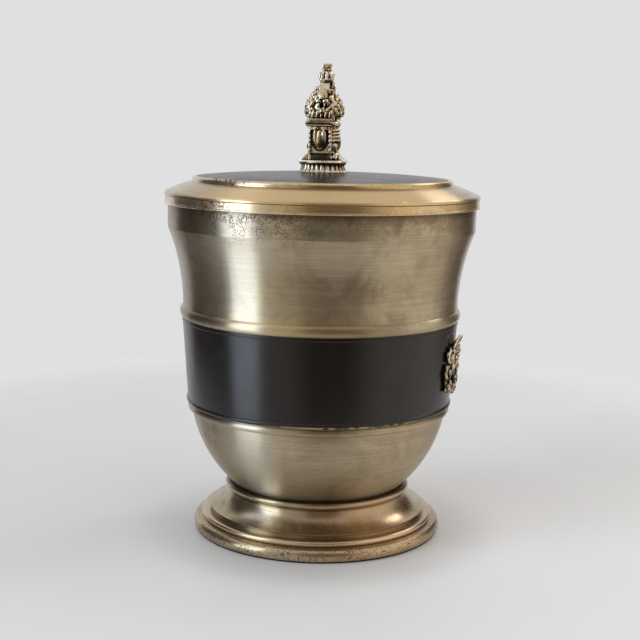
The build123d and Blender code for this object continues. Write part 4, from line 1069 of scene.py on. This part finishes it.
def sculpt_ribbon(crest):
    """A blank ribbon under the arms, with curled ends and three small drops."""
    for rim, thick in ((0.0, 1.35), (1.3, 0.5), (-1.3, 0.5)):
        line = []
        for x in range(-9, 10, 3):
            line.append((x, -1.9 + 0.012 * x * x - 0.2 * abs(rim), -13.3 + 0.035 * x * x + rim))
        crest.path(line, [thick] * 7, blend=0.3)
    for side in (-1, 1):
        crest.ball((side * 9.9, -2.0, -9.9), (1.5, 1.3, 1.7), blend=0.3)
        crest.ball((side * 9.9, -3.3, -9.9), 0.65, blend=0.2, carve=True)
        crest.ball((side * 12.2, -1.0, -11.2), (1.4, 0.9, 1.0), blend=0.4)
    for x in (-3.0, 0.0, 3.0):
        crest.ball((x, -2.6, -10.2 + 0.12 * abs(x)), 0.85, blend=0.15)


def add_crest():
    """The cast crest on the band: back plate, three pairs of scrolls, arms, coronet and ribbon."""
    crest = Sculpt((-15.4, -4.4, -15.9), (15.4, 0.5, 15.9), CREST_STEP)
    crest.ball((0.0, 0.1, -0.5), (12.0, 0.9, 11.5), blend=0.2)
    crest.ball((0.0, 0.1, -10.5), (9.0, 0.9, 4.4), blend=0.3)
    for side in (-1, 1):
        scroll(crest, (10.2, 5.6), side, 4.2, 200, -1.25, 1.0)
        scroll(crest, (11.0, -2.6), side, 3.9, 110, -1.2, 0.95)
        scroll(crest, (8.6, -8.2), side, 3.3, 60, -1.1, 0.85)
        crest.ball((side * 9.9, -2.0, 1.4), (0.9, 2.0, 0.9), blend=0.2, carve=True)
        crest.ball((side * 7.6, -1.8, -5.6), (0.9, 2.2, 1.3), blend=0.2, carve=True)
    sculpt_arms(crest)
    sculpt_coronet(crest)
    sculpt_ribbon(crest)
    piece = crest.mesh("crest", CREST_RECESS, round_the_band)
    piece.data.materials.append(cast_brass("crest_brass", ground=crest_ground_and_shade))
    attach(piece, "bucket")
    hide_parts("medallion")


# ---- Stage, light and camera ----

# Metres and degrees; the camera was fitted to the photograph
CAMERA_DISTANCE = 0.649
CAMERA_HEIGHT = 0.2152
CAMERA_PITCH = 9.03
CAMERA_ROLL = 1.1
CAMERA_LENS = 69.2
PALE = (0.745, 0.745, 0.755)
ROOM_START, ROOM_END = -132.0, 150.0
ROOM_RADIUS, ROOM_FOOT, ROOM_TOP = 1.7, -0.9, 1.4
FLOOR_LIFT = 0.16
FLOOR_SHIFT = 0.12
SKY_LOW, SKY_HIGH = 1.12, 0.76
AIM_HEIGHT = 0.2
WINDOW_TINT, LAMP_TINT = (0.74, 0.86, 1.0), (1.0, 0.95, 0.87)
ROOM_FRONT, ROOM_RIGHT = (0.14, 0.11, 0.085), (0.84, 0.78, 0.71)
ROOM_LEFT, ROOM_CORNER = (0.50, 0.47, 0.42), (0.075, 0.07, 0.068)
MARBLE, MARBLE_VEIN = (0.90, 0.90, 0.90), (0.87, 0.87, 0.88)


def toward(azimuth, distance, height):
    """A point at an azimuth round the object; 0 is in front of the crest."""
    angle = math.radians(azimuth)
    return Vector((distance * math.sin(angle), -distance * math.cos(angle), height))


def aimed(item, place, target):
    item.location = place
    item.rotation_euler = (target - place).to_track_quat("-Z", "Y").to_euler()


def add_camera():
    data = bpy.data.cameras.new("camera")
    data.lens = CAMERA_LENS
    camera = bpy.data.objects.new("camera", data)
    bpy.context.scene.collection.objects.link(camera)
    place = toward(FRONT, CAMERA_DISTANCE, CAMERA_HEIGHT)
    drop = CAMERA_DISTANCE * math.tan(math.radians(CAMERA_PITCH))
    aimed(camera, place, Vector((0.0, 0.0, CAMERA_HEIGHT - drop)))
    camera.rotation_euler.rotate_axis("Z", math.radians(CAMERA_ROLL))
    bpy.context.scene.camera = camera


def add_softbox(name, tint, radiance, azimuth, distance, height, width, tall):
    data = bpy.data.lights.new(name, "AREA")
    data.shape = "RECTANGLE"
    data.size = width
    data.size_y = tall
    data.energy = radiance * math.pi * width * tall
    data.color = tint
    lamp = bpy.data.objects.new(name, data)
    bpy.context.scene.collection.objects.link(lamp)
    lamp.visible_camera = False
    aimed(lamp, toward(azimuth, distance, height), Vector((0.0, 0.0, min(height, AIM_HEIGHT))))


def add_room():
    """A glowing curved wall for the metal to mirror: dim in front, paler at the sides, dark at far left."""
    count = 48
    points = []
    for n in range(count + 1):
        azimuth = FRONT + ROOM_START + (ROOM_END - ROOM_START) * n / count
        top = ROOM_TOP + 0.8 * max(0.0, math.cos(math.radians(2.2 * (azimuth - FRONT))))
        for height in (ROOM_FOOT, top):
            points.append(toward(azimuth, ROOM_RADIUS, height))
    faces = [(2 * n, 2 * n + 1, 2 * n + 3, 2 * n + 2) for n in range(count)]
    card = make_object("room", points, faces)
    look = Look("room")
    right = look.facing(76.0, 54.0)
    left = look.facing(-37.0, 31.0)
    corner = look.facing(-104.0, 36.0)
    colour = look.mix(right, ROOM_FRONT, ROOM_RIGHT)
    colour = look.mix(left, colour, ROOM_LEFT)
    colour = look.mix(corner, colour, ROOM_CORNER)
    look.finish((0.0, 0.0, 0.0), 1.0)
    look.shader.inputs["Specular IOR Level"].default_value = 0.0
    look.plug(colour, look.shader.inputs["Emission Color"])
    look.shader.inputs["Emission Strength"].default_value = 1.0
    card.data.materials.append(look.material)
    card.visible_camera = False
    card.visible_shadow = False


def add_world():
    """A plain pale backdrop for camera and metal; the light it gives falls off toward the ceiling."""
    world = bpy.data.worlds.new("studio")
    world.use_nodes = True
    sky = Nodes(world.node_tree)
    place = sky.add("ShaderNodeTexCoord").outputs["Generated"]
    height = sky.add("ShaderNodeSeparateXYZ", {0: place}).outputs["Z"]
    light = sky.spread(height, 0.35, 0.95, SKY_LOW, SKY_HIGH)
    strength = sky.add("ShaderNodeMix", {"Factor": sky.seen(), "A": light, "B": 1.0})
    background = world.node_tree.nodes["Background"].inputs
    sky.plug((*PALE, 1.0), background["Color"])
    sky.plug(strength.outputs["Result"], background["Strength"])
    bpy.context.scene.world = world


def add_floor(solid_radius, edge_radius):
    """A pale round floor whose edge fades into the backdrop, faintly lifted away from the contact shadow."""
    count = 96
    middle = toward(FRONT + 180.0, FLOOR_SHIFT, CAD_BOX[0][2])
    points = [middle]
    for n in range(count):
        angle = 2 * math.pi * n / count
        points.append(middle + Vector((edge_radius * math.cos(angle), edge_radius * math.sin(angle), 0.0)))
    faces = [(0, n + 1, (n + 1) % count + 1) for n in range(count)]
    floor = make_object("floor", points, faces)
    look = Look("floor")
    veins = look.spread(look.noise(220.0, 5.0, 0.6, warp=1.5), 0.35, 0.65)
    look.finish(look.mix(veins, MARBLE_VEIN, MARBLE), 0.5)
    seen = look.seen()
    lift = look.math("ADD", look.all_of(look.facing(25.0, 110.0), 0.6), 0.4)
    lift = look.all_of(seen, lift, look.spread(look.radius, 70.0, 110.0, 0.0, FLOOR_LIFT))
    look.shader.inputs["Emission Color"].default_value = (1.0, 1.0, 1.0, 1.0)
    look.plug(lift, look.shader.inputs["Emission Strength"])
    clear = look.add("ShaderNodeBsdfTransparent").outputs[0]
    apart = look.vector("LENGTH", look.vector("SUBTRACT", look.place, tuple(middle / MM)))
    fade = look.spread(apart, mm(solid_radius), mm(edge_radius) - 1.0)
    blend = look.add("ShaderNodeMixShader", {0: fade, 1: look.shader.outputs[0], 2: clear})
    look.plug(blend.outputs[0], look.tree.nodes["Material Output"].inputs["Surface"])
    floor.data.materials.append(look.material)


def build_stage():
    add_camera()
    add_world()
    add_floor(solid_radius=0.25, edge_radius=0.42)
    window = dict(azimuth=FRONT - 63.0, distance=1.5, height=0.25, width=0.66, tall=2.3)
    lamp = dict(azimuth=FRONT + 134.0, distance=1.1, height=1.0, width=0.4, tall=0.4)
    add_softbox("window", WINDOW_TINT, 3.2, **window)
    add_softbox("lamp", LAMP_TINT, 4.2, **lamp)
    add_room()


build_stage()
dress_turned_parts()
add_lion()
add_crest()
bpy.context.scene.view_settings.view_transform = "Standard"
